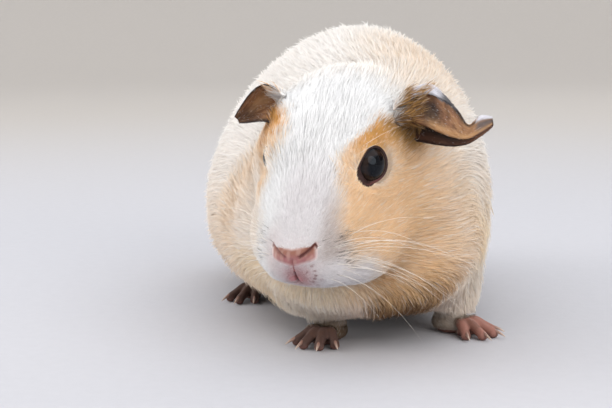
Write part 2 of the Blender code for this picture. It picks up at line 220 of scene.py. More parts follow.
def far_brow(h):
    """1 on the ruffled brow in front of and over the right eye, which turns its hair across that eye."""
    reach, off, round_it = eye_angles(h, RIGHT)
    turned = np.abs(np.angle(np.exp(1j * (round_it - math.radians(140)))))
    over = 1 - smooth(turned, math.radians(45), math.radians(85))
    return over * (1 - smooth(reach, 10.0, 14.0)) * (h[:, 0] < 0)


def foot_ahead(name):
    side, _, points, *_ = FEET[name]
    heading = side * math.radians(points)
    return np.array((math.sin(heading), -math.cos(heading), 0.0))


def foot_reach(name, w):
    """Millimetres, seen from above, from the line between a foot's upright and its toes' tips."""
    _, (x, y), _, toes, (half_length, _, _) = FEET[name]
    away = w - np.array((x, y, 0.0))
    ahead = foot_ahead(name)
    along = np.clip(away @ ahead, 0.0, half_length - 1.0 + toes[1][1] * 0.8)
    return np.hypot(away[:, 0] - along * ahead[0], away[:, 1] - along * ahead[1])


def leg_nearness(w):
    """1 close to a leg or its foot, 0 away from them, for points in millimetres from STAND."""
    return 1 - smooth(np.min([foot_reach(name, w) for name in FEET], axis=0), 12.0, 19.0)


def coat_length(points):
    """How long the hair is, in millimetres, at world points."""
    h = to_head(points)
    w = (points - np.array(STAND)) / MM
    from_nose = np.linalg.norm(h - np.array((0.0, -1.0, -1.0)), axis=1)
    head = np.interp(from_nose, (0, 6, 10, 16, 24, 34, 46, 60), (0.5, 0.8, 1.6, 3.0, 4.8, 7.0, 9.5, 12.0))
    short = 0.36 + 0.64 * smooth(near_eye(h), 6.4, 11.5)
    head *= np.maximum(short, 1.1 * far_brow(h))
    ear_root = np.linalg.norm(np.abs(h[:, :1]) * (1, 0, 0) + h * (0, 1, 1) - EAR_ROOT, axis=1)
    head *= 0.45 + 0.55 * smooth(ear_root, 7.0, 15.0)
    body = 9.0 + 5.0 * smooth(w[:, 2], 8.0, 34.0)
    leg = np.interp(w[:, 2], (0, 5, 8, 12, 18, 28, 40), (1.5, 2.0, 3.0, 4.8, 7.0, 10.0, 13.0))
    body = body + (np.minimum(leg, body) - body) * leg_nearness(w)
    return mix(body[:, None], head[:, None], headness(points))[:, 0]


COAT_DEPTH = 0.21  # the coat's depth as a share of the hair's length


def lie_of_coat(points, normals):
    """Unit vectors along the skin, the way that the hair lies."""
    h = to_head(points)
    w = (points - np.array(STAND)) / MM
    radial = unit(h - np.array((0.0, -7.0, 1.0)))
    behind = smooth(h[:, 1], 18.0, 46.0)[:, None]
    head = radial + behind * np.array((0.0, 0.9, -0.25))
    for side in SIDES.values():
        away = h - eye_centre(side)
        reach = np.linalg.norm(away, axis=1)
        axis = EYE_AXIS * np.array((side, 1.0, 1.0))
        outward = unit(away - (away @ axis)[:, None] * axis)
        part = (1 - smooth(reach, 8.5, 12.5)) * (1 - far_brow(h))
        against = np.maximum(0.0, -np.sum(unit(head) * outward, axis=1))
        head = unit(head) + outward * (part * (1.1 * against + 0.45))[:, None]
    # Hair sweeps out over the ears' roots
    to_ear = np.linalg.norm(np.abs(h[:, :1]) * (1, 0, 0) + h * (0, 1, 1) - EAR_FRONT, axis=1)
    outwards = np.stack((np.sign(h[:, 0]), np.full(len(h), 0.35), np.full(len(h), 0.12)), axis=1)
    head = mix(head, outwards * 1.5, 0.85 * (1 - smooth(to_ear, 4.0, 9.0)))
    head = head_way(unit(head))
    side_on = (1 - np.abs(normals[:, 2]))[:, None]
    body = np.array((0.0, 1.0, 0.0)) + side_on * np.array((0.0, 0.0, -0.45))
    chest = (1 - smooth(w[:, 1], -52.0, -30.0)) * (1 - smooth(w[:, 2], 38.0, 60.0))
    body = mix(body, np.array((0.0, 0.25, -1.0)), chest)
    rump = smooth(w[:, 1], 55.0, 90.0)
    body = mix(body, np.array((0.0, 0.35, -1.0)), rump)
    leg = 1 - smooth(w[:, 2], 12.0, 26.0)
    body = mix(body, np.array((0.0, 0.15, -1.0)), leg * 0.8)
    body = unit(body)
    for name in FEET:
        near = 1 - smooth(foot_reach(name, w), 10.0, 14.0)
        body = mix(body, foot_ahead(name) + np.array((0.0, 0.0, -0.35)), near * (1 - smooth(w[:, 2], 5.0, 9.0)))
    way = mix(body, head, headness(points))
    turn = swirl(points, 0.030, 5)[:, None] * 0.16 + swirl(points, 0.009, 6)[:, None] * 0.10
    way = unit(way - dot(way, normals) * normals)
    way = way + np.cross(normals, way) * turn
    return unit(way - dot(way, normals) * normals)


# ---------------------------------------------------------------- markings

# Colours as they look, 0 to 255
WHITE = (253, 253, 253)
CREAM = (253, 249, 245)
PEACH = (250, 220, 180)
ORANGE = (228, 177, 106)
PALE_PEACH = (248, 230, 208)
BUFF = (247, 231, 212)
TAN = (200, 158, 100)
CHEST_CREAM = (253, 236, 208)
JAW_TAN = (243, 208, 158)
CHEST_TAN_SHADE = (206, 162, 112)
DARK_BROWN = (92, 64, 48)
BLUSH = (238, 224, 222)
MUZZLE_WHITE = (242, 239, 240)
MUZZLE_GREY = (218, 208, 204)
LIP_PINK = (204, 152, 155)
LIP_SKIN = (178, 124, 127)
LIP_SPOT = (150, 92, 94)
BELLY_SHADE_BROWN = (112, 84, 62)
MUZZLE_SKIN = (226, 190, 184)
NOSE_MAUVE = (164, 110, 110)
NOSE_BROWN = (154, 106, 90)
NOSE_PALE = (194, 160, 150)
NOSTRIL_DARK = (104, 56, 54)
MOUTH_DARK = (128, 70, 72)
DEEP_PINK = (160, 104, 102)
LID_BROWN = (52, 34, 32)
LID_PINK = (128, 76, 74)
EAR_BROWN = (142, 102, 76)
EAR_DARK = (88, 62, 50)
EAR_BLACK = (40, 33, 32)
EAR_TAN = (200, 158, 114)
EAR_RED = (100, 66, 54)
EAR_PALE = (226, 226, 234)
EAR_GREY = (96, 94, 98)
FOOT_PINK = (154, 108, 96)
SHADED_TOE_BROWN = (88, 67, 61)
CLAW_ROOT = (150, 112, 100)
CLAW_TIP = (206, 186, 170)
FOOT_SOLE = (120, 84, 76)
FOOT_FUR_AND_SHADE = (122, 98, 72)


def linear(colour):
    """A colour as it looks, 0 to 255, -> linear 0 to 1."""
    c = np.asarray(colour, float) / 255
    return np.where(c <= 0.04045, c / 12.92, ((c + 0.055) / 1.055) ** 2.4)


# Half width of the white blaze at distances back from the nose, in millimetres: left side, right side
BLAZE_AT = (3.0, 8.0, 13.0, 19.0, 25.0, 30.0, 36.0, 43.0, 50.0)
BLAZE_LEFT = (10.0, 8.6, 8.0, 7.9, 8.8, 10.9, 13.5, 17.2, 20.0)
BLAZE_RIGHT = (12.0, 12.5, 12.4, 11.6, 11.0, 11.6, 13.8, 17.0, 20.0)


def lip_places(points, h):
    """How much of the lips' pink, and of the small dark spots at their left, the face shows."""
    x, z = h[:, 0] - NOSE_MIDDLE, h[:, 2]
    lips = np.clip(1.4 * bump(np.hypot(x * 0.85 - 0.4, (z + 6.0) * 0.75), 3.0), 0, 1) * (h[:, 1] < 9)
    beside = bump(np.hypot(x - 4.4, (z + 4.6) * 0.6), 2.0) * (h[:, 1] < 9)
    spots = smooth(swirl(points, 0.0009, 43), 0.45, 0.9) * np.clip(1.5 * beside, 0, 1)
    return 0.8 * lips, 0.75 * spots


def coat_colour(points):
    """Linear colour of the coat at world points. The skin under it has the same markings."""
    h = to_head(points)
    w = (points - np.array(STAND)) / MM
    wander = swirl(points, 0.006, 11)
    x, y, z = h[:, 0], h[:, 1], h[:, 2]
    near, far_side = smooth(x, -2.0, 2.0), smooth(-x, -2.0, 2.0)
    # White face, pink round the nose
    from_nose = np.linalg.norm(h - np.array((0.0, -1.0, 0.0)), axis=1)
    head = mix(linear(WHITE), linear(BLUSH), 1 - smooth(from_nose, 4.0, 13.0))
    head = mix(head, linear(CREAM), smooth(x, 6.0, 16.0) * smooth(-z, 4.0, 9.0))
    shaded = (1 - smooth(from_nose, 12.0, 34.0)) * smooth(x, -9.0, -3.0)
    head = mix(head, linear(MUZZLE_WHITE), shaded)
    head = mix(head, linear(MUZZLE_GREY), smooth(x, 4.0, 8.0) * (1 - smooth(from_nose, 12.0, 20.0)) * smooth(z, -3.0, 1.0))
    lips, spots = lip_places(points, h)
    head = mix(head, linear(LIP_PINK), lips)
    head = mix(head, linear(LIP_SPOT), spots)
    # Peach cheeks, deeper under the jaw, pale round the eyes, orange above them
    cheek = mix(linear(PEACH), linear(TAN), 0.16 * smooth(-z - 0.3 * y, 4.0, 24.0))
    cheek = mix(cheek, linear(CREAM), 0.8 * far_side * smooth(8.0 - z, -4.0, 6.0))
    cheek = mix(cheek, linear(PALE_PEACH), smooth(y, 30.0, 46.0) * smooth(16.0 - z, 0.0, 8.0))
    cheek = mix(cheek, linear(PALE_PEACH), smooth(near_eye(h), 8.2, 6.4) * smooth(20.0 - z, 0.0, 6.0))
    eye_up = (z - 13.7) + 0.25 * (y - 28.0)
    deep = smooth(eye_up, 1.0, 7.0) * smooth(y, 16.0, 28.0)
    deep = np.maximum(deep, smooth(y, 33.0, 40.0) * smooth(z, 9.0, 15.0))
    cheek = mix(cheek, linear(ORANGE), deep)
    temple = smooth(y, 32.0, 38.0) * smooth(z, 8.0, 13.0) * near
    cheek = mix(cheek, linear(TAN), 0.9 * temple)
    # Dark hairs at the left ear's root, and painted shade in the small fold under the right ear's root
    root_left = np.linalg.norm(h - np.array((21.0, 42.0, 21.0)), axis=1)
    root_right = np.linalg.norm(h - np.array((-20.5, 39.5, 18.0)), axis=1)
    dark = (1 - smooth(root_left, 4.0, 10.0)) + (1 - smooth(root_right, 1.5, 4.5))
    dark *= smooth(swirl(points, 0.0012, 13), -0.5, 0.3)
    cheek = mix(cheek, linear(DARK_BROWN), 0.82 * dark)
    # Pale hair over the ears' upper roots
    above_ear = smooth(z, 27.3, 29.0) * smooth(y, 34.0, 38.0)
    cheek = mix(cheek, linear(CREAM), 0.9 * above_ear)
    half = near * np.interp(y, BLAZE_AT, BLAZE_LEFT) + far_side * np.interp(y, BLAZE_AT, BLAZE_RIGHT)
    beside = np.abs(x) - half + wander * 0.8
    above_jaw = (z + y - 0.9) * 0.7 + wander * 1.2
    blur = 1 + 1.1 * (1 - smooth(y, 16.0, 28.0))
    patch = smooth(beside / blur, -1.4, 1.8) * smooth(above_jaw, -3.0, 6.0)
    head = mix(head, cheek, patch)
    throat = smooth(-z - 0.30 * y + wander, 10.5, 15.0) * (1 - smooth(y, 30.0, 42.0))
    under = mix(np.tile(linear(CHEST_CREAM), (len(h), 1)), linear(JAW_TAN), smooth(w[:, 0], -16.0, -4.0))
    head = mix(head, under, 0.9 * throat)
    # Cream body, buff low down, tan with painted shade on the chest, painted shade under the belly, and dark fur with
    # painted shade by the feet
    body = mix(linear(CREAM), linear(BUFF), smooth(62.0 - w[:, 2], 0.0, 50.0))
    nape = smooth(w[:, 2], 60.0, 80.0) * (1 - smooth(w[:, 1], -10.0, 20.0))
    body = mix(body, linear(PALE_PEACH), 0.7 * nape * smooth(w[:, 0], -8.0, 16.0))
    tinge = smooth(swirl(points, 0.045, 12), 0.0, 0.9)
    body = mix(body, linear(PALE_PEACH), 0.25 * tinge)
    middle = 1 - smooth(np.abs(w[:, 0] - 6.0), 12.0, 24.0)
    # The chest between the forelegs is tan, and darker there as painted shade under the chin and body
    chest = (1 - smooth(w[:, 1], -50.0, -28.0)) * (1 - smooth(w[:, 2], 22.0, 44.0)) * middle
    body = mix(body, linear(CHEST_CREAM), 0.8 * (1 - smooth(w[:, 1], -46.0, -24.0)) * (1 - smooth(w[:, 2], 34.0, 56.0)))
    body = mix(body, linear(CHEST_TAN_SHADE), 0.9 * chest)
    body = mix(body, linear(CREAM), 0.6 * leg_nearness(w) * (1 - smooth(w[:, 2], 24.0, 34.0)))
    # Painted shade: dark brown low on the body's underside, away from the legs, where shade falls under the body
    belly_shade = (1 - smooth(w[:, 2] + 2.0 * wander, 13.0, 29.0)) * (1 - leg_nearness(w)) * smooth(w[:, 0], -26.0, -12.0)
    body = mix(body, linear(BELLY_SHADE_BROWN), 0.9 * belly_shade)
    # Dark brown fur low by the feet, darkened further as painted shade near the floor; the left forefoot gets less of
    # it
    low = 1 - smooth(w[:, 2] + 1.5 * wander, 4.0, 10.0)
    left_foot = 1 - smooth(foot_reach("forefoot_left", w), 9.0, 13.0)
    body = mix(body, linear(FOOT_FUR_AND_SHADE), 0.9 * low * leg_nearness(w) * (1 - 0.45 * left_foot))
    return mix(body, head, (1 - smooth(y, 42.0, 56.0)) * smooth(z, -30.0, -22.0))


# ---------------------------------------------------------------- mesh helpers


def coordinates(mesh):
    made = np.empty(len(mesh.vertices) * 3)
    mesh.vertices.foreach_get("co", made)
    return made.reshape(-1, 3)


def vertex_normals(mesh):
    made = np.empty(len(mesh.vertices) * 3)
    mesh.vertex_normals.foreach_get("vector", made)
    return made.reshape(-1, 3)


def set_coordinates(mesh, points):
    mesh.vertices.foreach_set("co", np.ascontiguousarray(points, np.float32).ravel())
    mesh.update()


def object_of(mesh, name):
    made = bpy.data.objects.new(name, mesh)
    bpy.context.scene.collection.objects.link(made)
    return made


def settle(obj):
    """Gives the object the mesh that its modifiers make, and removes them."""
    bpy.context.view_layer.update()
    evaluated = obj.evaluated_get(bpy.context.evaluated_depsgraph_get())
    mesh = bpy.data.meshes.new_from_object(evaluated)
    obj.modifiers.clear()
    obj.data = mesh
    return obj


def mesh_of(name, points, polygons):
    """A mesh from arrays: polygons is a list of arrays of corner indices, each with equal rows."""
    mesh = bpy.data.meshes.new(name)
    corners = np.concatenate([p.ravel() for p in polygons])
    sizes = np.concatenate([np.full(len(p), p.shape[1]) for p in polygons])
    mesh.vertices.add(len(points))
    mesh.loops.add(len(corners))
    mesh.polygons.add(len(sizes))
    mesh.vertices.foreach_set("co", np.ascontiguousarray(points, np.float32).ravel())
    mesh.loops.foreach_set("vertex_index", corners.astype(np.int32))
    starts = np.concatenate(((0,), np.cumsum(sizes)[:-1]))
    mesh.polygons.foreach_set("loop_start", starts.astype(np.int32))
    mesh.update(calc_edges=True)
    return mesh


def paint(mesh, colours, name="tint"):
    """Linear colours on the mesh's vertices."""
    layer = mesh.color_attributes.new(name=name, type="FLOAT_COLOR", domain="POINT")
    rgba = np.concatenate((np.clip(colours, 0, 1), np.ones((len(colours), 1))), axis=1)
    layer.data.foreach_set("color", rgba.astype(np.float32).ravel())


def grid_polygons(rows, columns, closed=False):
    """Quads of a grid of rows x columns points, joined round along its columns if closed."""
    i, j = np.meshgrid(np.arange(rows - 1), np.arange(columns if closed else columns - 1), indexing="ij")
    i, j = i.ravel(), j.ravel()
    k = (j + 1) % columns
    return np.stack((i * columns + j, i * columns + k, (i + 1) * columns + k, (i + 1) * columns + j), axis=1)


def catmull_rom(rows, values):
    """Values at even steps 0..1 on a smooth curve through the rows."""
    rows = np.asarray(rows, float)
    last = len(rows) - 1
    at = np.clip(np.asarray(values, float) * last, 0, last - 1e-9)
    i = at.astype(int)
    t = (at - i).reshape((-1,) + (1,) * (rows.ndim - 1))
    a, b, c, d = rows[np.maximum(i - 1, 0)], rows[i], rows[i + 1], rows[np.minimum(i + 2, last)]
    return b + 0.5 * t * ((c - a) + t * ((2 * a - 5 * b + 4 * c - d) + t * (3 * (b - c) + d - a)))


def add_tube(bm, points, radii, around=14, steps=5):
    """A round limb through the points, closed by half-round ends."""
    rows = np.concatenate((np.asarray(points, float), np.asarray(radii, float)[:, None]), axis=1)
    rows = catmull_rom(rows, np.linspace(0, 1, (len(rows) - 1) * steps + 1))
    line = [Vector(row[:3]) for row in rows]
    loops = []
    for i, row in enumerate(rows):
        along = (line[min(i + 1, len(line) - 1)] - line[max(i - 1, 0)]).normalized()
        turn = along.to_track_quat("Z", "Y").to_matrix()
        ends = [(0.0, 1.0)]
        if i == 0:
            ends = [(-0.95, 0.3), (-0.7, 0.71), (-0.35, 0.93), (0.0, 1.0)]
        if i == len(rows) - 1:
            ends = [(0.0, 1.0), (0.35, 0.93), (0.7, 0.71), (0.95, 0.3)]
        for shift, share in ends:
            middle = line[i] + along * shift * row[3]
            loops.append(
                [
                    bm.verts.new(middle + turn @ Vector((math.cos(a), math.sin(a), 0)) * share * row[3])
                    for a in (math.tau * k / around for k in range(around))
                ]
            )
    for first, second in zip(loops, loops[1:]):
        for i in range(around):
            j = (i + 1) % around
            bm.faces.new((first[i], first[j], second[j], second[i]))
    bm.faces.new(loops[0][::-1])
    bm.faces.new(loops[-1])


def add_ball(bm, centre, radii, turn=Matrix(), segments=24, rings=16):
    place = Matrix.Translation(centre) @ turn.to_4x4() @ Matrix.Diagonal((*radii, 1.0))
    bmesh.ops.create_uvsphere(bm, u_segments=segments, v_segments=rings, radius=1.0, matrix=place)


def object_from(bm, name):
    bmesh.ops.recalc_face_normals(bm, faces=bm.faces)
    mesh = bpy.data.meshes.new(name)
    bm.to_mesh(mesh)
    bm.free()
    return object_of(mesh, name)


def melt(obj, voxel, smoothing):
    """Joins overlapping closed surfaces into one soft form."""
    remesh = obj.modifiers.new("join", "REMESH")
    remesh.mode = "VOXEL"
    remesh.voxel_size = voxel
    soften = obj.modifiers.new("soften", "SMOOTH")
    soften.factor = 0.5
    soften.iterations = smoothing
    return settle(obj)


def relax(mesh, shares, rounds):
    """Laplacian smoothing, by each vertex's share."""
    edges = np.empty(len(mesh.edges) * 2, np.int32)
    mesh.edges.foreach_get("vertices", edges)
    a, b = edges[0::2], edges[1::2]
    points = coordinates(mesh)
    count = np.maximum(np.bincount(a, minlength=len(points)) + np.bincount(b, minlength=len(points)), 1)
    for _ in range(rounds):
        total = np.empty_like(points)
        for k in range(3):
            total[:, k] = np.bincount(a, points[b, k], len(points)) + np.bincount(b, points[a, k], len(points))
        points += (total / count[:, None] - points) * shares[:, None]
    set_coordinates(mesh, points)


# ---------------------------------------------------------------- skin: the flesh under the coat

SKIN_VOXEL = 0.0010
SEAM_CLOSING = 0.0004  # the solids are grown by this, so that their thin gaps close


def flesh_form():
    """The solids of flesh and the eyes in them, as one surface at the coat's outside."""
    whole = bmesh.new()
    for name in (*FLESH, "eye_left", "eye_right"):
        part = bmesh.new()
        part.from_mesh(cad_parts[name].data)
        bmesh.ops.remove_doubles(part, verts=part.verts, dist=1e-6)
        part.normal_update()
        if name in FLESH:
            for v in part.verts:
                v.co += v.normal * SEAM_CLOSING
        helper = bpy.data.meshes.new("helper")
        part.to_mesh(helper)
        part.free()
        whole.from_mesh(helper)
        bpy.data.meshes.remove(helper)
    mesh = bpy.data.meshes.new("skin")
    whole.to_mesh(mesh)
    whole.free()
    return melt(object_of(mesh, "skin"), SKIN_VOXEL, 6)


def sink_under_coat(mesh):
    """Moves the surface in by the coat's depth, in small steps that keep creases open."""
    points = coordinates(mesh)
    depth = coat_length(points) * COAT_DEPTH * MM + SEAM_CLOSING
    h = to_head(points)
    eye = 1 - smooth(near_eye(h), 7.0, 9.0)
    depth *= 1 - 0.8 * eye
    steps = 5
    for _ in range(steps):
        points = coordinates(mesh) - vertex_normals(mesh) * (depth / steps)[:, None]
        set_coordinates(mesh, points)
        relax(mesh, 0.5 * (1 - eye), 3)


def refine(mesh, wanted, rounds=1):
    """Splits the faces whose points `wanted` picks."""
    for _ in range(rounds):
        bm = bmesh.new()
        bm.from_mesh(mesh)
        chosen = wanted(coordinates(mesh))
        bm.verts.ensure_lookup_table()
        edges = [e for e in bm.edges if chosen[e.verts[0].index] and chosen[e.verts[1].index]]
        bmesh.ops.subdivide_edges(bm, edges=edges, cuts=1, use_grid_fill=True)
        bmesh.ops.triangulate(bm, faces=[f for f in bm.faces if len(f.verts) > 4])
        bm.to_mesh(mesh)
        bm.free()


NOSE_MIDDLE = -0.8  # the nose's middle stands this far to its right, in millimetres
# The left nostril's slit as (out from the middle, up), in millimetres
NOSTRIL_LINE = ((2.0, 1.0), (3.2, 1.8), (4.6, 2.8), (5.8, 3.8), (6.2, 3.2))
MOUTH_TOP, MOUTH_BOTTOM = -4.0, -8.4


def line_distance(x, z, line):
    """Distance of points from a polyline in the plane."""
    best = np.full(len(x), 1e9)
    for (x0, z0), (x1, z1) in zip(line, line[1:]):
        dx, dz = x1 - x0, z1 - z0
        t = np.clip(((x - x0) * dx + (z - z0) * dz) / (dx * dx + dz * dz), 0, 1)
        best = np.minimum(best, np.hypot(x - x0 - t * dx, z - z0 - t * dz))
    return best


def bump(value, width):
    return np.exp(-((value / width) ** 2))


def face_front(h, normals):
    """1 where the surface faces forwards near the nose."""
    near = 1 - smooth(np.linalg.norm(h - np.array((0, 0, -2.0)), axis=1), 10.0, 13.0)
    return near * smooth(-normals[:, 1], -0.15, 0.35)


def nose_pad(x, z):
    """1 on the bare pad of the nose."""
    top = 3.3 + 0.20 * x
    bottom = -1.3 + 0.27 * x
    return smooth(top - z, -0.5, 0.7) * smooth(z - bottom, -0.9, 0.7) * (1 - smooth(x, 5.6, 7.0))


def nose_place(h):
    """Distance from the nose's middle and height, on a nose whose right side hangs a little."""
    return np.abs(h[:, 0] - NOSE_MIDDLE), h[:, 2] + 0.2 * np.maximum(0.0, -h[:, 0] - 1.0)


def sculpt_nose(mesh):
    """The bare pad, the nostrils, the groove below them, and the lips."""
    points = coordinates(mesh)
    normals = vertex_normals(mesh)
    h = to_head(points)
    hn = normals @ TURN
    front = face_front(h, hn)
    x, z = nose_place(h)
    rise = 1.0 * bump(x, 3.4) * bump(z - 0.5, 4.5)
    rise -= 0.55 * bump(x - 8.0, 2.6) * bump(z - 1.0, 4.0)
    rise += 0.22 * nose_pad(x, z)
    slit = line_distance(x, z, NOSTRIL_LINE)
    open_wide = 0.55 + 0.45 * smooth(h[:, 0], -2.0, 1.0)
    rise -= 1.1 * bump(slit, 0.34) * open_wide
    rise += 0.40 * bump(np.hypot(x - 4.3, z - 1.0), 1.5)
    rise -= 0.45 * bump(x, 0.42) * smooth(z, -4.2, -3.2) * (1 - smooth(z, 0.2, 1.0))
    lips = bump(np.hypot(x - 2.2, (z + 6.2) * 0.8), 2.2)
    rise += 0.65 * lips
    cleft = smooth(z, MOUTH_BOTTOM - 0.3, MOUTH_BOTTOM + 0.4) * (1 - smooth(z, MOUTH_TOP - 0.5, MOUTH_TOP + 0.3))
    rise -= 1.3 * bump(x, 0.36) * cleft
    corner = z - (MOUTH_BOTTOM - 0.05 * x * x)
    rise -= 0.7 * bump(corner, 0.40) * (1 - smooth(x, 3.6, 4.8))
    way = unit(hn + np.array((0.0, -1.0, 0.0)))
    h = h + way * (rise * front)[:, None]
    set_coordinates(mesh, from_head(h))


def sculpt_lids(mesh):
    """The skin closes on each eye in two lids, and passes behind the eyeball in their opening."""
    points = coordinates(mesh)
    h = to_head(points)
    for side in SIDES.values():
        reach, off, round_it = eye_angles(h, side)
        past = past_lid(reach, off, round_it)
        close = reach < EYE_RADIUS + 6.0
        outside = EYE_RADIUS + LID_THICKNESS
        inside = EYE_RADIUS - 1.2
        # On the lids the skin keeps to the eye, and away from them it is left as it is
        hug = 1 - smooth(past, math.radians(2), math.radians(34))
        swell = 0.14 * bump(past - math.radians(6), math.radians(6))
        wanted = outside + swell
        held = mix(np.maximum(reach, wanted)[:, None], wanted[:, None], hug)[:, 0]
        held = np.where(past < LID_EDGE, mix(inside, held[:, None], smooth(past, -LID_EDGE * 0.4, LID_EDGE * 0.4))[:, 0], held)
        behind = off > math.radians(100)
        wanted = np.where(behind | ~close, reach, held)
        h = np.where(
            close[:, None],
            eye_centre(side) + (h - eye_centre(side)) * (wanted / np.maximum(reach, 1e-9))[:, None],
            h,
        )
    set_coordinates(mesh, from_head(h))


# ---------------------------------------------------------------- feet

def toe_points(side, root, heading, spread, length):
    angle = heading + side * math.radians(spread)
    ahead = Vector((math.sin(angle), -math.cos(angle), 0.0))
    start = root + ahead * 2.0 * MM + Vector((0, 0, 2.8 * MM))
    knuckle = start + ahead * length * 0.38 * MM + Vector((0, 0, 1.1 * MM))
    joint = start + ahead * length * 0.72 * MM + Vector((0, 0, -0.1 * MM))
    tip = start + ahead * length * MM + Vector((0, 0, -1.15 * MM))
    return ahead, (start, knuckle, joint, tip)


def foot_form(name):
    """One foot with the low end of its leg. Returns it and where its claws begin."""
    side, (x, y), points, toes, (half_length, half_width, height) = FEET[name]
    heading = side * math.radians(points)
    ahead = Vector((math.sin(heading), -math.cos(heading), 0.0))
    joint = STAND + Vector((x, y, 0.0)) * MM
    bm = bmesh.new()
    turn = Matrix.Rotation(heading, 4, "Z")
    radii = Vector((half_width, half_length, height * 0.55)) * MM
    add_ball(bm, joint + Vector((0, 0, height * 0.46 * MM)), radii, turn)
    leg = [joint + Vector((0, 0, h * MM)) for h in (3.5, 9.0, 15.0)]
    add_tube(bm, leg, [r * MM for r in (4.3, 4.6, 5.0)])
    root = joint + ahead * (half_length - 3.5) * MM
    claws = []
    for spread, length in toes:
        way, line = toe_points(side, root, heading, spread, length)
        add_tube(bm, line, [TOE_RADIUS * r * MM for r in (1.15, 1.12, 0.98, 0.92)])
        for at, size in ((0.3, 0.95), (1.0, 1.0)):
            pad = line[0].lerp(line[3], at)
            pad.z = TOE_RADIUS * 0.75 * MM
            add_ball(bm, pad, Vector((1.0, 1.0, 0.8)) * TOE_RADIUS * size * MM)
        claws.append((line[3] + Vector((0, 0, 0.5 * MM)), way))
    made = melt(object_from(bm, name + "_form"), 0.00036, 4)
    flatten_sole(made.data)
    return made, claws


def on_toes(w):
    """1 on the bare toes, and 1 near the left forefoot, for points in millimetres from STAND."""
    toes = np.zeros(len(w))
    left_fore = np.zeros(len(w))
    for name, (_, (x, y), _, _, (half_length, half_width, _)) in FEET.items():
        away = w - np.array((x, y, 0.0))
        forward = away @ foot_ahead(name)
        near = (1 - smooth(np.hypot(away[:, 0], away[:, 1]), 33.0, 36.0)) * (1 - smooth(w[:, 2], 7.0, 9.0))
        near = near * (1 - smooth(foot_reach(name, w), 11.0, 14.0))
        toes = np.maximum(toes, near * smooth(forward, half_length - 4.0, half_length + 1.4))
        if name == "forefoot_left":
            left_fore = near
    return toes, left_fore


def flatten_sole(mesh):
    """What would reach below the floor rests flat on it."""
    points = coordinates(mesh)
    points[:, 2] = np.maximum(points[:, 2], 0.00002)
    set_coordinates(mesh, points)


def claw(start, ahead, name):
    """A curved horn claw, round above and hollow below."""
    bm = bmesh.new()
    steps, around = 10, 10
    across = Vector((-ahead.y, ahead.x, 0.0))
    loops = []
    for k in range(steps + 1):
        t = k / steps
        low = start.z - 0.35 * MM
        middle = start + ahead * (CLAW_LENGTH * t - 0.8) * MM + Vector((0, 0, -low * t * t * 0.75 + 0.25 * MM * t * (1 - t)))
        size = CLAW_RADIUS * (1 - t) ** 0.65 * MM + 0.06 * MM
        loop = []
        for i in range(around):
            a = math.tau * i / around
            deep = 0.75 if math.sin(a) < 0 else 1.15
            loop.append(bm.verts.new(middle + across * size * 0.85 * math.cos(a) + Vector((0, 0, size * deep * math.sin(a)))))
        loops.append(loop)
    for first, second in zip(loops, loops[1:]):
        for i in range(around):
            j = (i + 1) % around
            bm.faces.new((first[i], first[j], second[j], second[i]))
    bm.faces.new(loops[0][::-1])
    bm.faces.new(loops[-1])
    return object_from(bm, name)


# ---------------------------------------------------------------- ears

# Lines along an ear from its root to its tip, in the head's frame for the left side, in millimetres:
# the upper rim, the crest that it hangs from, the middle of the upper panel, the fold, the hollow under
# it, and the lower rim; the right ear has no hanging rim
LEFT_EAR = (
    ((17.0, 41.3, 23.4), (21.5, 42.6, 26.3), (26.3, 44.0, 27.7), (30.6, 43.6, 26.5), (35.0, 42.0, 24.3), (38.8, 39.6, 21.6), (41.6, 42.0, 23.2), (44.4, 44.0, 22.0)),
    ((17.0, 43.8, 24.6), (21.5, 45.2, 27.9), (26.3, 46.6, 29.2), (30.6, 45.0, 27.3), (35.0, 42.0, 24.0), (38.8, 39.3, 21.3), (41.7, 41.5, 22.6), (44.5, 43.9, 21.7)),
    ((17.0, 43.2, 22.3), (21.5, 43.8, 24.6), (26.3, 43.6, 25.4), (30.6, 41.8, 24.2), (35.0, 39.6, 22.4), (38.8, 38.2, 20.5), (41.8, 40.4, 21.5), (44.6, 43.6, 21.2)),
    ((17.0, 41.0, 20.0), (21.5, 40.0, 21.2), (26.0, 39.0, 21.3), (30.4, 37.6, 20.4), (34.8, 36.6, 19.4), (38.8, 37.0, 18.9), (42.0, 39.6, 19.8), (44.8, 43.2, 20.4)),
    ((17.0, 45.0, 17.5), (21.5, 45.5, 18.0), (26.0, 44.6, 18.2), (30.4, 42.6, 17.9), (34.8, 40.4, 17.4), (38.8, 39.4, 17.4), (42.0, 40.8, 18.6), (44.8, 43.2, 19.8)),
    ((17.0, 44.0, 13.0), (21.5, 43.0, 13.0), (26.0, 41.6, 13.3), (30.4, 40.0, 13.9), (34.8, 38.6, 14.8), (38.8, 38.6, 16.0), (42.0, 40.6, 17.6), (44.6, 43.0, 19.2)),
)
RIGHT_EAR = (
    ((17.0, 45.0, 24.0), (20.5, 45.6, 26.4), (24.2, 46.2, 26.0), (27.6, 45.2, 23.4), (30.2, 43.8, 20.0), (32.0, 42.2, 17.2)),
    ((17.0, 46.5, 22.5), (20.5, 47.6, 24.2), (24.0, 48.0, 23.6), (27.2, 46.8, 21.4), (29.8, 44.8, 18.8), (31.8, 42.6, 16.6)),
    ((17.0, 48.0, 20.5), (20.5, 49.2, 21.4), (23.8, 49.2, 20.8), (26.8, 47.6, 19.2), (29.4, 45.0, 17.4), (31.4, 42.8, 16.0)),
    ((17.0, 46.0, 17.0), (20.2, 46.6, 17.8), (23.4, 46.4, 17.8), (26.4, 45.0, 17.0), (28.8, 43.6, 16.2), (31.0, 42.4, 15.6)),
    ((17.0, 41.0, 16.5), (19.8, 40.4, 17.0), (22.8, 40.2, 17.4), (25.8, 40.4, 16.8), (28.4, 41.0, 16.0), (30.6, 41.8, 15.4)),
)
EAR_THICKNESS = 0.62
EAR_ALONG, EAR_ACROSS = 64, 44


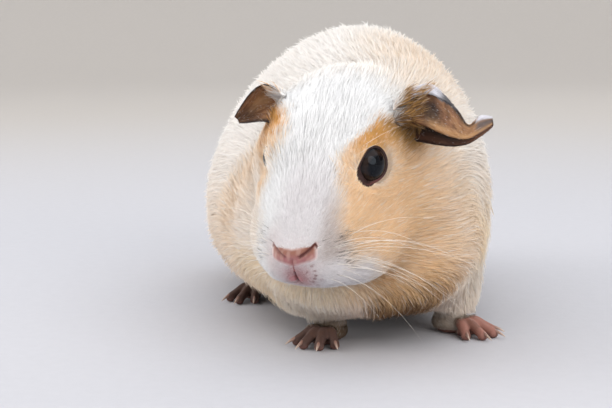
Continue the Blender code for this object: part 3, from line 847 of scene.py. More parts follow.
def ear_surface(side, lines):
    """Points of the ear's middle surface as rows along x columns across, in millimetres."""
    along = np.linspace(0, 1, EAR_ALONG)
    across = np.linspace(0, 1, EAR_ACROSS)
    curves = np.stack([catmull_rom(line, along) for line in lines])
    surface = catmull_rom(curves, across).transpose(1, 0, 2)
    surface[:, :, 0] *= side
    return surface


def ear_facing(surface):
    """Unit normals of an ear's middle surface, towards its open front."""
    normal = unit(np.cross(np.gradient(surface, axis=0), np.gradient(surface, axis=1)))
    if normal[EAR_ALONG // 3, EAR_ACROSS // 2, 1] > 0:
        normal = -normal
    return normal


def ear_form(side, lines, name):
    """The ear as a closed thin shell, rounded at its rim."""
    surface = ear_surface(side, lines)
    normal = ear_facing(surface)
    s, t = np.meshgrid(np.linspace(0, 1, EAR_ALONG), np.linspace(0, 1, EAR_ACROSS), indexing="ij")
    rim = np.minimum(np.minimum(t, 1 - t) * 9.0, (1 - s) * 8.0)
    half = EAR_THICKNESS / 2 * (1.25 - 0.5 * s) * np.sqrt(np.clip(rim, 0.02, 1.0))
    front = surface + normal * half[:, :, None]
    back = surface - normal * half[:, :, None]
    count = EAR_ALONG * EAR_ACROSS
    points = np.concatenate((front.reshape(-1, 3), back.reshape(-1, 3)))
    quads = grid_polygons(EAR_ALONG, EAR_ACROSS)
    rows = np.arange(EAR_ALONG)
    columns = np.arange(EAR_ACROSS)
    border = np.concatenate(
        (
            columns,
            rows[1:] * EAR_ACROSS + EAR_ACROSS - 1,
            (EAR_ALONG - 1) * EAR_ACROSS + columns[-2::-1],
            rows[-2:0:-1] * EAR_ACROSS,
        )
    )
    following = np.roll(border, -1)
    wall = np.stack((border, following, following + count, border + count), axis=1)
    mesh = mesh_of(name, from_head(points), [quads, quads[:, ::-1] + count, wall])
    bm = bmesh.new()
    bm.from_mesh(mesh)
    bmesh.ops.recalc_face_normals(bm, faces=bm.faces)
    bm.to_mesh(mesh)
    bm.free()
    return object_of(mesh, name)


def ear_map(side, lines):
    """What finds the nearest place on an ear's middle surface."""
    surface = ear_surface(side, lines)
    places = from_head(surface.reshape(-1, 3))
    tree = KDTree(len(places))
    for i, place in enumerate(places):
        tree.insert(place, i)
    tree.balance()
    ways = unit(np.gradient(surface, axis=0))
    return side, tree, head_way(ear_facing(surface).reshape(-1, 3)), head_way(ways.reshape(-1, 3))


EARS = [ear_map(LEFT, LEFT_EAR), ear_map(RIGHT, RIGHT_EAR)]


def ear_places(side, points):
    """Indices of the nearest places on one ear's middle surface."""
    tree = EARS[0 if side == LEFT else 1][1]
    return [tree.find(place)[1] for place in points]


def place_on_ears(points, normals):
    """For each ear: which points lie on it, how surely, their place along and across it, and whether
    they are on its back."""
    h = to_head(points)
    for side, tree, facing, _ in EARS:
        chosen = np.where((h[:, 0] * side > 16.5) & (h[:, 2] > 8.0) & (h[:, 1] > 30.0))[0]
        if len(chosen) == 0:
            continue
        found = [tree.find(points[i]) for i in chosen]
        far = np.array([f[2] for f in found])
        index = np.array([f[1] for f in found])
        along = (index // EAR_ACROSS) / (EAR_ALONG - 1)
        across = (index % EAR_ACROSS) / (EAR_ACROSS - 1)
        behind = (np.sum(normals[chosen] * facing[index], axis=1) < 0).astype(float)
        share = (1 - smooth(far, 0.0006, 0.0012)) * smooth(along, 0.05, 0.16)
        yield side, chosen, share, along, across, behind


def ear_colour(side, s, t, behind):
    """Linear colour on an ear: s from root to tip, t from its upper rim to its lower one."""
    place = np.stack((s * 24, t * 16, np.zeros(len(s))), axis=1) * MM
    specks = smooth(swirl(place, 0.0011, 41), 0.0, 0.9)
    streaks = smooth(swirl(place * (0.35, 2.2, 1.0), 0.0011, 42), -0.2, 0.8)
    inner = np.tile(linear(EAR_BROWN), (len(s), 1))
    inner = mix(inner, linear(EAR_TAN), 0.35 * streaks)
    inner = mix(inner, linear(EAR_DARK), 0.5 * specks)
    rim_reach = np.minimum(t, 1 - t)
    back = mix(linear(EAR_PALE), linear(EAR_DARK), 0.25 * specks)
    if side == LEFT:
        inner = mix(inner, linear(EAR_TAN), 0.35 * smooth(s, 0.55, 0.75))
        blotch = np.exp(-(((s - 0.34) / 0.10) ** 2) - ((t - 0.46) / 0.10) ** 2)
        inner = mix(inner, linear(EAR_BLACK), np.clip(1.2 * blotch, 0, 0.85))
        # Painted highlight: tan along the fold's ridge
        ridge_highlight = bump(t - 0.57, 0.05) * smooth(s, 0.25, 0.45)
        inner = mix(inner, linear(EAR_TAN), 0.9 * ridge_highlight)
        below = smooth(t, 0.61, 0.66)
        inner = mix(inner, linear(EAR_RED), 0.85 * below)
        # Painted shade: near black in the hollow under the fold
        hollow = below * (1 - smooth(s, 0.50, 0.85)) * (1 - smooth(t, 0.86, 0.98))
        inner = mix(inner, linear(EAR_BLACK), 0.95 * hollow)
        crest = bump(t - 0.21, 0.07) * smooth(s, 0.08, 0.16)
        inner = mix(inner, linear(EAR_BLACK), 0.9 * crest)
        tip = smooth(s, 0.78, 0.84)
        inner = mix(inner, linear(EAR_PALE), 0.95 * tip * (1 - smooth(t, 0.24, 0.34)))
        inner = mix(inner, linear(EAR_GREY), 0.85 * tip * bump(t - 0.43, 0.13))
        back = mix(back, linear(EAR_BLACK), 0.85 * smooth(s, 0.36, 0.46) * (1 - tip))
        rim_width = 0.035
    else:
        outer = smooth(s + 0.5 * t, 0.75, 1.10)
        inner = mix(inner, linear(EAR_BLACK), 0.6 * outer)
        inner = mix(inner, linear(EAR_TAN), 0.6 * bump(t - 0.45, 0.2) * (1 - smooth(s, 0.5, 0.8)))
        rim_width = 0.06
    rim = 1 - smooth(rim_reach, rim_width * 0.4, rim_width * 1.6)
    rim *= 1 - 0.8 * smooth(s, 0.78, 0.84) * (t < 0.5) * (side == LEFT)
    rim = np.maximum(rim, smooth(s, 0.965, 0.99) * (t > 0.4))
    inner = mix(inner, linear(EAR_BLACK), 0.9 * rim)
    back = mix(back, linear(EAR_BLACK), 0.5 * rim)
    return mix(inner, back, behind)


# ---------------------------------------------------------------- the whole skin


def unite(obj, others):
    for other in others:
        cut = obj.modifiers.new("unite", "BOOLEAN")
        cut.operation = "UNION"
        cut.solver = "MANIFOLD"
        cut.object = other
        settle(obj)
        bpy.data.objects.remove(other)


def build_skin(feet, ears):
    skin = flesh_form()
    mesh = skin.data
    sink_under_coat(mesh)

    def round_nose(points):
        return np.linalg.norm(to_head(points) - np.array((0, 1.0, -2.0)), axis=1) < 13.0

    def on_nose(points):
        return np.linalg.norm(to_head(points) - np.array((0, 0.0, -2.0)), axis=1) < 10.5

    def round_eyes(points):
        return near_eye(to_head(points)) < 11.0

    def on_eyes(points):
        return near_eye(to_head(points)) < 8.6

    refine(mesh, lambda p: round_nose(p) | round_eyes(p))
    relax(mesh, 0.5 * (round_nose(coordinates(mesh)) | round_eyes(coordinates(mesh))), 3)
    refine(mesh, lambda p: on_nose(p) | on_eyes(p))
    relax(mesh, 0.5 * (on_nose(coordinates(mesh)) | on_eyes(coordinates(mesh))), 3)
    sculpt_nose(mesh)
    sculpt_lids(mesh)
    unite(skin, feet + ears)
    return skin


def colour_skin(skin):
    mesh = skin.data
    points = coordinates(mesh)
    normals = vertex_normals(mesh)
    h = to_head(points)
    w = (points - np.array(STAND)) / MM
    colours = coat_colour(points) * 0.96
    # Bare skin of nose and lips
    hn = normals @ TURN
    front = face_front(h, hn)
    x, z = nose_place(h)
    pad = nose_pad(x, z) * front
    muzzle = (1 - smooth(np.linalg.norm(h - np.array((0, 0, 1.0)), axis=1), 6.0, 13.0)) * 0.25
    colours = mix(colours, linear(MUZZLE_SKIN), muzzle)
    mottle = smooth(swirl(points, 0.0012, 44), -0.4, 0.8)
    bare_nose = mix(np.tile(linear(NOSE_MAUVE), (len(h), 1)), linear(NOSE_BROWN), smooth(z, 0.6, 2.6))
    bare_nose = mix(bare_nose, linear(NOSE_PALE), 0.45 * mottle + 0.35 * smooth(-h[:, 0], 2.0, 5.0) * smooth(x, 2.0, 5.0))
    colours = mix(colours, bare_nose, pad)
    # Painted shade: the nostrils' slits and openings are coloured dark
    slit = line_distance(x, z, NOSTRIL_LINE)
    wide = 0.55 + 0.45 * smooth(h[:, 0], -2.0, 1.0)
    colours = mix(colours, linear(NOSTRIL_DARK), bump(slit, 0.42) * front * 0.9 * wide)
    colours = mix(colours, linear(NOSTRIL_DARK), bump(np.hypot(x - 4.6, z - 2.6), 0.9) * front * 0.35)
    lips, _ = lip_places(points, h)
    colours = mix(colours, linear(LIP_SKIN), np.clip(1.2 * lips, 0, 1) * front)
    # Painted shade: the mouth's cleft and the groove under the nose are coloured darker
    cleft = bump(x, 0.46) * smooth(z, MOUTH_BOTTOM - 0.2, MOUTH_BOTTOM + 0.4) * (1 - smooth(z, MOUTH_TOP - 0.6, MOUTH_TOP + 0.3))
    colours = mix(colours, linear(MOUTH_DARK), cleft * front)
    groove = bump(x, 0.6) * smooth(z, -4.6, -3.6) * (1 - smooth(z, 0.0, 0.8))
    colours = mix(colours, linear(DEEP_PINK), groove * front * 0.75)
    for side in SIDES.values():
        reach, off, round_it = eye_angles(h, side)
        past = np.degrees(past_lid(reach, off, round_it))
        close = reach < EYE_RADIUS + 4.5
        low = bump(round_it - math.radians(-110), math.radians(40))
        lid = mix(linear(LID_BROWN), linear(LID_PINK), low * 0.75 * bump(past - 3.0, 2.2))
        corner = 9.0 * bump(lid_turn(round_it), math.radians(38))
        colours = mix(colours, lid, np.where(close, 1 - smooth(past - corner, 4.0, 6.5), 0.0))
    # The toes' bare skin: pink on the left forefoot, and a darker brown on the other feet as painted shade
    feet, left_fore = on_toes(w)
    feet = np.maximum(feet, 1 - smooth(w[:, 2], 1.2, 2.4))
    foot = mix(linear(SHADED_TOE_BROWN), linear(FOOT_PINK), left_fore)
    foot = mix(foot, linear(FOOT_SOLE), 0.7 * (1 - smooth(w[:, 2], 0.5, 2.0)))
    foot = mix(foot, linear(EAR_DARK), smooth(swirl(points, 0.003, 31), 0.0, 0.8) * 0.45)
    colours = mix(colours, foot, feet)
    for side, chosen, share, along, across, behind in place_on_ears(points, normals):
        ear = ear_colour(side, along, across, behind)
        colours[chosen] = mix(colours[chosen], ear, share)
    return colours


# ---------------------------------------------------------------- coat


def root_places(mesh, chosen, weights, count):
    """Random places on the chosen triangles, by area times weight. Returns points and normals."""
    corners = np.empty(len(mesh.loop_triangles) * 3, np.int32)
    mesh.loop_triangles.foreach_get("vertices", corners)
    corners = corners.reshape(-1, 3)[chosen]
    points = coordinates(mesh)
    normals = vertex_normals(mesh)
    a, b, c = points[corners[:, 0]], points[corners[:, 1]], points[corners[:, 2]]
    area = np.linalg.norm(np.cross(b - a, c - a), axis=1) / 2
    share = np.cumsum(area * weights[chosen])
    # Even steps through the surface spread the roots better than free draws
    draws = (np.arange(count) + RNG.uniform(size=count)) / count * share[-1]
    picked = np.minimum(np.searchsorted(share, draws), len(share) - 1)
    u, v = RNG.uniform(size=(2, count))
    over = u + v > 1
    u, v = np.where(over, 1 - u, u)[:, None], np.where(over, 1 - v, v)[:, None]
    tri = corners[picked]
    place = points[tri[:, 0]] * (1 - u - v) + points[tri[:, 1]] * u + points[tri[:, 2]] * v
    normal = normals[tri[:, 0]] * (1 - u - v) + normals[tri[:, 1]] * u + normals[tri[:, 2]] * v
    return place, unit(normal)


def gather(roots, tips, size):
    """Draws the tips of neighbouring hairs together into locks about `size` hairs strong."""
    count = max(1, len(roots) // size)
    chosen = RNG.choice(len(roots), count, replace=False)
    tree = KDTree(count)
    for i, k in enumerate(chosen):
        tree.insert(roots[k], i)
    tree.balance()
    nearest = chosen[np.array([tree.find(p)[1] for p in roots])]
    return nearest, tips[nearest] + (roots - roots[nearest]) * 0.25


class SkinBelow:
    """Finds the skin under points near it."""

    def __init__(self, mesh):
        self.points = coordinates(mesh)
        self.normals = vertex_normals(mesh)
        self.tree = KDTree(len(self.points))
        for i, place in enumerate(self.points):
            self.tree.insert(place, i)
        self.tree.balance()

    def bend(self, points, heights):
        """Moves the points straight in or out, so that each stands its height above the skin."""
        index = np.array([self.tree.find(place)[1] for place in points])
        normals = self.normals[index]
        above = dot(points - self.points[index], normals)
        return points + normals * (heights[:, None] - above)


def clear_of_eyes(points):
    """Moves points out of the eyeballs."""
    h = to_head(points)
    for side in SIDES.values():
        away = h - eye_centre(side)
        reach = np.linalg.norm(away, axis=1, keepdims=True)
        least = EYE_RADIUS + EYE_CLEARANCE
        h = np.where(reach < least, eye_centre(side) + away / reach * least, h)
    return from_head(h)


def off_eyes(roots, lies, lengths):
    """Lengths of hair, cut so that no tip reaches into the left eye's opening, or far into the right eye's."""
    lengths = lengths.copy()
    for side, clear in ((LEFT, 1.0), (RIGHT, -20.0)):
        for _ in range(4):
            for along in (0.6, 1.0):
                reach, off, round_it = eye_angles(to_head(roots + lies * (along * lengths)[:, None]), side)
                corner = 4.0 * bump(lid_turn(round_it), math.radians(38))
                over = (off - lid_edge(round_it) < np.radians(clear + corner)) & (reach < EYE_RADIUS + 2.5)
                lengths[over] *= 0.7
    return lengths


# The bake's map: each part of the body is unrolled round its own axis
def unrolled_head(points):
    h = to_head(points) - np.array((0.0, 0.0, 2.0))
    angle = np.arctan2(h[:, 0], h[:, 2]) / math.tau + 0.5
    radius = np.hypot(h[:, 0], h[:, 2])
    return np.stack((angle, (h[:, 1] - np.minimum(radius, 12.0) * -1.0) / 80.0), axis=1)


def unrolled_body(points):
    w = (points - np.array(STAND)) / MM - np.array((-3.0, 0.0, 42.0))
    angle = np.arctan2(w[:, 0], w[:, 2]) / math.tau + 0.5
    radius = np.hypot(w[:, 0], w[:, 2])
    ends = np.where(w[:, 1] > 0, 40.0 - radius, radius - 40.0) * smooth(np.abs(w[:, 1]), 20.0, 80.0)
    return np.stack((angle, (w[:, 1] + ends) / 240.0), axis=1)


def unrolled_legs(points):
    w = (points - np.array(STAND)) / MM
    made = np.zeros((len(points), 2))
    for k, (_, (x, y), *_rest) in enumerate(FEET.values()):
        away = w[:, :2] - np.array((x, y))
        mine = np.argmin([np.hypot(*(w[:, :2] - np.array(f[1])).T) for f in FEET.values()], axis=0) == k
        angle = np.arctan2(away[:, 0], away[:, 1]) / math.tau + 0.5
        place = np.stack((angle * 0.48 + 0.5 * (k % 2), w[:, 2] / 60.0 * 0.48 + 0.5 * (k // 2)), axis=1)
        made[mine] = place[mine]
    return made


def fit_map(uv):
    low, high = uv.min(0), uv.max(0)
    return (uv - low) / np.maximum(high - low, 1e-9) * 0.98 + 0.01


TUFT_PATCH = 0.003
# A tuft's width, as a share of its full width, at its root and half way along it
TUFT_SHAPE = ((0.0, 0.7), (0.5, 1.0))
FLOOR_CLEARANCE = 0.3 * MM
EYE_CLEARANCE = 0.25
PALE_SHARE = 0.25
ROOT_SHADE = 0.90


def tufts(name, skin_below, roots, normals, lies, lengths, widths, lifts, colours, uv, lock=9, pull=0.34):
    """Thin tapered tufts, each a narrow strip that rises from its root and lies back along the coat."""
    count = len(roots)
    cos, sin = np.cos(lifts)[:, None], np.sin(lifts)[:, None]
    reach = lengths[:, None]
    tips = roots + (lies * cos + normals * sin) * reach
    nearest, drawn = gather(roots, tips, lock)
    tips = mix(tips, drawn, pull * RNG.uniform(0.5, 1.3, count))
    tips = skin_below.bend(tips, lengths * sin[:, 0])
    across = unit(np.cross(lies, normals))
    start = roots - normals * (0.15 * MM)
    lift = np.minimum(sin * 1.6, 0.9)
    middle = roots + (lies * np.sqrt(1 - lift**2) + normals * lift) * reach * 0.5
    middle += across * RNG.normal(0, 0.03, count)[:, None] * reach
    bowed = lengths * sin[:, 0] * 1.15
    middle = skin_below.bend(middle, bowed)
    roll = RNG.normal(0, 0.25, count)[:, None]
    flat = across * np.cos(roll) + normals * np.sin(roll)
    face_up = np.cross(flat, lies)
    face_up *= np.sign(dot(face_up, normals))
    rows, shades = [], []
    for t, wide in TUFT_SHAPE:
        centre = clear_of_eyes(start * (1 - t) ** 2 + middle * 2 * t * (1 - t) + tips * t * t)
        for edge in (-1, 1):
            rows.append(centre + flat * (edge * wide * widths / 2)[:, None])
            shades.append(unit(normals * 0.9 + face_up * 0.15 + flat * edge * 0.22))
    rows.append(clear_of_eyes(tips))
    shades.append(unit(normals * 0.95 + lies * 0.15))
    per = len(rows)
    points = np.stack(rows, axis=1).reshape(-1, 3)
    points[:, 2] = np.maximum(points[:, 2], FLOOR_CLEARANCE)
    shade = np.stack(shades, axis=1).reshape(-1, 3)
    base = (np.arange(count) * per)[:, None]
    quads = base + np.array((0, 1, 3, 2))
    ends = base + np.array((2, 3, 4))
    # Each strip's front is the side that faces away from the skin
    first = points[base[:, 0]], points[base[:, 0] + 1], points[base[:, 0] + 2]
    faces_out = np.sum(np.cross(first[1] - first[0], first[2] - first[0]) * normals, axis=1) > 0
    quads = np.where(faces_out[:, None], quads, quads[:, ::-1])
    ends = np.where(faces_out[:, None], ends, ends[:, ::-1])
    mesh = mesh_of(name, points, [quads, ends])
    # Each tuft and each lock is a little lighter or darker, and some hairs are paler than the rest
    own = RNG.normal(1.0, 0.03, count) * RNG.normal(1.0, 0.03, count)[nearest]
    depth_of_colour = smooth(0.55 - colours[:, 2], 0.0, 0.35)
    share = PALE_SHARE * (1 - 0.6 * depth_of_colour)
    pale = np.where(RNG.uniform(size=count) < share, RNG.uniform(0.15, 0.5, count), 0.0)
    colours = mix(colours, linear(WHITE), pale) * own[:, None]
    steps = [t for t, _ in TUFT_SHAPE for _ in (0, 1)] + [1.0]
    tint = np.stack([colours * (ROOT_SHADE + (1.02 - ROOT_SHADE) * t) for t in steps], axis=1).reshape(-1, 3)
    paint(mesh, tint)
    # The bake's map: a small patch at the root's place
    corner = np.array([(edge, t) for t, _ in TUFT_SHAPE for edge in (-0.5, 0.5)] + [(0.0, 1.0)])
    patch = (uv[:, None, :] + corner[None, :, :] * TUFT_PATCH).reshape(-1, 2)
    loops = np.empty(len(mesh.loops), np.int32)
    mesh.loops.foreach_get("vertex_index", loops)
    layer = mesh.uv_layers.new(name="OFBake")
    layer.data.foreach_set("uv", patch[loops].astype(np.float32).ravel())
    mesh.normals_split_custom_set_from_vertices(shade)
    return object_of(mesh, name)


# ---------------------------------------------------------------- materials


FUR_TRANSLUCENCY = 0.38


def new_material(name):
    made = bpy.data.materials.new(name)
    made.use_nodes = True
    return made, made.node_tree.nodes, made.node_tree.links, made.node_tree.nodes["Principled BSDF"]


def noise_node(nodes, links, scale, detail=3.0):
    where = nodes.new("ShaderNodeTexCoord")
    made = nodes.new("ShaderNodeTexNoise")
    made.inputs["Scale"].default_value = scale
    made.inputs["Detail"].default_value = detail
    links.new(where.outputs["Object"], made.inputs["Vector"])
    return made


def tinted_material(name, roughness, variation, scale, bumps=None, sheen=0.0, specular=0.3):
    """Takes its colour from the piece's own tint, with fine mottling, and bumps if given as
    (scale, strength, distance)."""
    made, nodes, links, shader = new_material(name)
    tint = nodes.new("ShaderNodeAttribute")
    tint.attribute_name = "tint"
    noise = noise_node(nodes, links, scale)
    span = nodes.new("ShaderNodeMapRange")
    span.inputs["To Min"].default_value = 1 - variation
    span.inputs["To Max"].default_value = 1 + variation
    links.new(noise.outputs["Fac"], span.inputs["Value"])
    shade = nodes.new("ShaderNodeMix")
    shade.data_type = "RGBA"
    shade.blend_type = "MULTIPLY"
    shade.inputs["Factor"].default_value = 1.0
    links.new(tint.outputs["Color"], shade.inputs["A"])
    links.new(span.outputs["Result"], shade.inputs["B"])
    links.new(shade.outputs["Result"], shader.inputs["Base Color"])
    shader.inputs["Roughness"].default_value = roughness
    shader.inputs["Specular IOR Level"].default_value = specular
    shader.inputs["Sheen Weight"].default_value = sheen
    if bumps:
        size, strength, distance = bumps
        grain = noise_node(nodes, links, size, 4.0)
        raise_it = nodes.new("ShaderNodeBump")
        raise_it.inputs["Strength"].default_value = strength
        raise_it.inputs["Distance"].default_value = distance
        links.new(grain.outputs["Fac"], raise_it.inputs["Height"])
        links.new(raise_it.outputs["Normal"], shader.inputs["Normal"])
    return made


def fur_material():
    """Thin hair, that lets some light through."""
    made = tinted_material("fur_look", 0.62, 0.05, 2500.0, specular=0.2)
    nodes, links = made.node_tree.nodes, made.node_tree.links
    shader, output = nodes["Principled BSDF"], nodes["Material Output"]
    through = nodes.new("ShaderNodeBsdfTranslucent")
    blend = nodes.new("ShaderNodeMixShader")
    blend.inputs["Fac"].default_value = FUR_TRANSLUCENCY
    links.new(shader.inputs["Base Color"].links[0].from_socket, through.inputs["Color"])
    links.new(shader.outputs["BSDF"], blend.inputs[1])
    links.new(through.outputs["BSDF"], blend.inputs[2])
    links.new(blend.outputs["Shader"], output.inputs["Surface"])
    return made


def eye_material():
    made, nodes, links, shader = new_material("eye_gloss")
    facing = nodes.new("ShaderNodeAttribute")
    facing.attribute_name = "tint"
    noise = noise_node(nodes, links, 900.0)
    shade = nodes.new("ShaderNodeMix")
    shade.data_type = "RGBA"
    shade.blend_type = "MULTIPLY"
    shade.inputs["Factor"].default_value = 0.5
    links.new(facing.outputs["Color"], shade.inputs["A"])
    links.new(noise.outputs["Fac"], shade.inputs["B"])
    links.new(shade.outputs["Result"], shader.inputs["Base Color"])
    shader.inputs["Roughness"].default_value = 0.06
    shader.inputs["IOR"].default_value = 1.33
    shader.inputs["Specular IOR Level"].default_value = 0.38
    shader.inputs["Specular Tint"].default_value = (0.72, 0.86, 1.0, 1)
    return made


# ---------------------------------------------------------------- pieces


def keep(obj, material):
    obj.data.materials.clear()
    obj.data.materials.append(material)
    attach(obj, "root")
    return obj


def build_eye(side, node, material):
    """The eyeball, with a slightly raised cornea."""
    bm = bmesh.new()
    bmesh.ops.create_uvsphere(bm, u_segments=64, v_segments=40, radius=1.0)
    obj = object_from(bm, node + "_ball")
    ways = unit(coordinates(obj.data))
    axis = EYE_AXIS * np.array((side, 1.0, 1.0))
    off = np.arccos(np.clip(ways @ axis, -1, 1))
    radius = EYE_RADIUS - 0.12 + 0.22 * bump(off, 0.55)
    set_coordinates(obj.data, from_head(eye_centre(side) + ways * radius[:, None]))
    iris = smooth(off, math.radians(30), math.radians(34)) * (1 - smooth(off, math.radians(46), math.radians(52)))
    colours = mix(np.tile(np.array((0.006, 0.006, 0.008)), (len(ways), 1)), np.array((0.030, 0.018, 0.014)), iris)
    paint(obj.data, colours)
    obj.data.shade_smooth()
    keep(obj, material)
    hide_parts(node)
    return obj


def whisker(bm, root, way, length, droop, thick=0.075):
    """A long tapered bristle that bends down under its weight. Lengths in millimetres."""
    steps, around = 9, 4
    loops = []
    across = Vector(way).cross(Vector((0, 0, 1))).normalized()
    up = across.cross(Vector(way)).normalized()
    for k in range(steps + 1):
        t = k / steps
        middle = Vector(root) + Vector(way) * length * t * MM + Vector((0, 0, -droop * length * t * t * MM))
        size = thick * (1 - 0.85 * t) * MM
        loops.append(
            [
                bm.verts.new(middle + (across * math.cos(a) + up * math.sin(a)) * size)
                for a in (math.tau * i / around for i in range(around))
            ]
        )
    for first, second in zip(loops, loops[1:]):
        for i in range(around):
            j = (i + 1) % around
            bm.faces.new((first[i], first[j], second[j], second[i]))
    bm.faces.new(loops[0][::-1])
    bm.faces.new(loops[-1])


def build_all():
    feet, claws = [], {}
    for name in FEET:
        form, starts = foot_form(name)
        feet.append(form)
        claws[name] = starts
    ears = [ear_form(LEFT, LEFT_EAR, "ear_left_form"), ear_form(RIGHT, RIGHT_EAR, "ear_right_form")]
    skin = build_skin(feet, ears)
    skin.name = "skin"
    colours = colour_skin(skin)
    paint(skin.data, colours)
    skin.data.shade_smooth()
    skin_look = tinted_material("skin_look", 0.58, 0.10, 900.0, bumps=(2200.0, 0.35, 0.0002), specular=0.25)
    keep(skin, skin_look)
    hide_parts(*FLESH, *FEET, "ear_left", "ear_right")

    claw_look = tinted_material("claw_look", 0.3, 0.12, 1500.0, bumps=(900.0, 0.2, 0.0001), specular=0.5)
    for name, starts in claws.items():
        for number, (start, way) in enumerate(starts, 1):
            made = claw(start, way, f"{name}_claw_{number}_horn")
            points = coordinates(made.data)
            along = np.linalg.norm(points - np.array(start), axis=1) / (CLAW_LENGTH * MM)
            paint(made.data, mix(linear(CLAW_ROOT), linear(CLAW_TIP), smooth(along, 0.2, 0.9)))
            made.data.shade_smooth()
            keep(made, claw_look)
            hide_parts(f"{name}_claw_{number}")

    eye_look = eye_material()
    for word, side in SIDES.items():
        build_eye(side, f"eye_{word}", eye_look)
    build_coat(skin)
    build_whiskers(skin)


def bare(points, normals):
    """True where no hair grows: nose pad, lips, lids and eyes, soles and toes, ears."""
    h = to_head(points)
    hn = normals @ TURN
    w = (points - np.array(STAND)) / MM
    x, z = nose_place(h)
    front = face_front(h, hn)
    made = nose_pad(x, z) * front * (1 - 0.7 * smooth(z, 2.4, 3.6)) > 0.35
    made |= (line_distance(x, z, NOSTRIL_LINE) < 0.5) & (front > 0.4)
    made |= (np.hypot(x - 0.9, (z + 6.4) * 0.8) < 1.1) & (front > 0.5)
    made |= (x < 0.35) & (z > -8.2) & (z < 0.0) & (front > 0.5)
    for side in SIDES.values():
        reach, off, round_it = eye_angles(h, side)
        corner = 7.0 * bump(lid_turn(round_it), math.radians(38))
        made |= (past_lid(reach, off, round_it) < np.radians(3.5 + corner)) & (reach < EYE_RADIUS + 4.0)
        made |= (reach < EYE_RADIUS - 0.2) & (off < math.radians(100))
    toes, _ = on_toes(w)
    made |= toes > RNG.uniform(0.3, 1.0, len(w))
    made |= (w[:, 2] < 0.9) | ((w[:, 2] < 3.0) & (normals[:, 2] < -0.5))
    for _, chosen, share, along, _, behind in place_on_ears(points, normals):
        hairy = 0.10 + RNG.uniform(0.0, 0.13, len(chosen)) * (1 - behind)
        made[chosen] |= (share > 0.4) & (along > hairy)
    return made


HEAD_TUFTS = 205_000
BODY_TUFTS = 280_000
PIECE_TUFTS = 62_000


def hair_width(points):
    """Widths of tufts, in millimetres."""
    h = to_head(points)
    w = (points - np.array(STAND)) / MM
    far = np.linalg.norm(h - np.array((0.0, -1.0, -1.0)), axis=1)
    head = np.interp(far, (0, 8, 20, 40, 60), (0.09, 0.12, 0.18, 0.26, 0.32))
    root = np.linalg.norm(np.abs(h[:, :1]) * (1, 0, 0) + h * (0, 1, 1) - EAR_ROOT, axis=1)
    head *= 0.6 + 0.4 * smooth(root, 7.0, 13.0)
    body = 0.30 - 0.15 * leg_nearness(w) * (1 - smooth(w[:, 2], 6.0, 20.0))
    return mix(body[:, None], head[:, None], headness(points))[:, 0]


def plant(mesh, chosen, density, count):
    """Roots and normals of about `count` tufts on the chosen triangles, none on bare skin."""
    roots, normals = root_places(mesh, chosen, density, count)
    fine = ~bare(roots, normals)
    return roots[fine], normals[fine]


def coat_piece(label, skin_below, roots, normals, unroll, material):
    """The coat of one part of the animal, in as many pieces as its size asks for."""
    count = len(roots)
    h = to_head(roots)
    lengths = coat_length(roots) * MM * RNG.uniform(0.72, 1.12, count)
    lies = lie_of_coat(roots, normals)
    lies = unit(lies + np.cross(normals, lies) * RNG.normal(0, 0.09, count)[:, None])
    lengths = off_eyes(roots, lies, lengths)
    lifts = np.radians(RNG.normal(11.5, 3.0, count).clip(4, 20) + 10 * far_brow(h))
    widths = hair_width(roots) * MM * RNG.uniform(0.75, 1.2, count)
    colours = coat_colour(roots + RNG.normal(0, 0.13, (count, 3)) * lengths[:, None])
    uv = fit_map(unroll(roots))
    pieces = math.ceil(count / PIECE_TUFTS)
    for number, part in enumerate(np.array_split(np.arange(count), pieces), 1):
        name = f"coat_{label}_{number}" if pieces > 1 else f"coat_{label}"
        made = tufts(
            name, skin_below, roots[part], normals[part], lies[part], lengths[part], widths[part], lifts[part],
            colours[part], uv[part],
        )
        keep(made, material)


def build_coat(skin):
    mesh = skin.data
    mesh.calc_loop_triangles()
    corners = np.empty(len(mesh.loop_triangles) * 3, np.int32)
    mesh.loop_triangles.foreach_get("vertices", corners)
    middles = coordinates(mesh)[corners.reshape(-1, 3)].mean(axis=1)
    on_head = headness(middles) > 0.5
    look = fur_material()
    skin_below = SkinBelow(mesh)

    from_nose = np.linalg.norm(to_head(middles) - np.array((0.0, -1.0, -1.0)), axis=1)
    density = np.interp(from_nose, (0, 8, 14, 24, 40, 60), (34, 34, 26, 17, 11, 9))
    roots, normals = plant(mesh, on_head, density, HEAD_TUFTS)
    h = to_head(roots)
    behind_muzzle = h[:, 1] >= 14
    on_top = behind_muzzle & (np.abs(h[:, 0]) < 10) & (h[:, 2] > 0)
    beside = behind_muzzle & ~on_top
    zones = {
        "muzzle": ~behind_muzzle,
        "crown": on_top,
        "cheek_left": beside & (h[:, 0] >= 0),
        "cheek_right": beside & (h[:, 0] < 0),
    }
    for label, zone in zones.items():
        coat_piece(label, skin_below, roots[zone], normals[zone], unrolled_head, look)

    w = (middles - np.array(STAND)) / MM
    density = 4.5 + 16.0 * leg_nearness(w) * (1 - smooth(w[:, 2], 6.0, 13.0))
    roots, normals = plant(mesh, ~on_head, density, BODY_TUFTS)
    w = (roots - np.array(STAND)) / MM
    leg = (w[:, 2] < 16) & (leg_nearness(w) > 0.3)
    back = w[:, 1]
    zones = {
        "legs": leg,
        "chest": ~leg & (back < -38),
        "shoulders": ~leg & (back >= -38) & (back < 0),
        "flank_left": ~leg & (back >= 0) & (back < 62) & (w[:, 0] > -3),
        "flank_right": ~leg & (back >= 0) & (back < 62) & (w[:, 0] <= -3),
        "rump": ~leg & (back >= 62),
    }
    for label, zone in zones.items():
        unroll = unrolled_legs if label == "legs" else unrolled_body
        coat_piece(label, skin_below, roots[zone], normals[zone], unroll, look)
    build_ear_hair(mesh, middles, skin_below, look)


EAR_TUFTS = 15_000


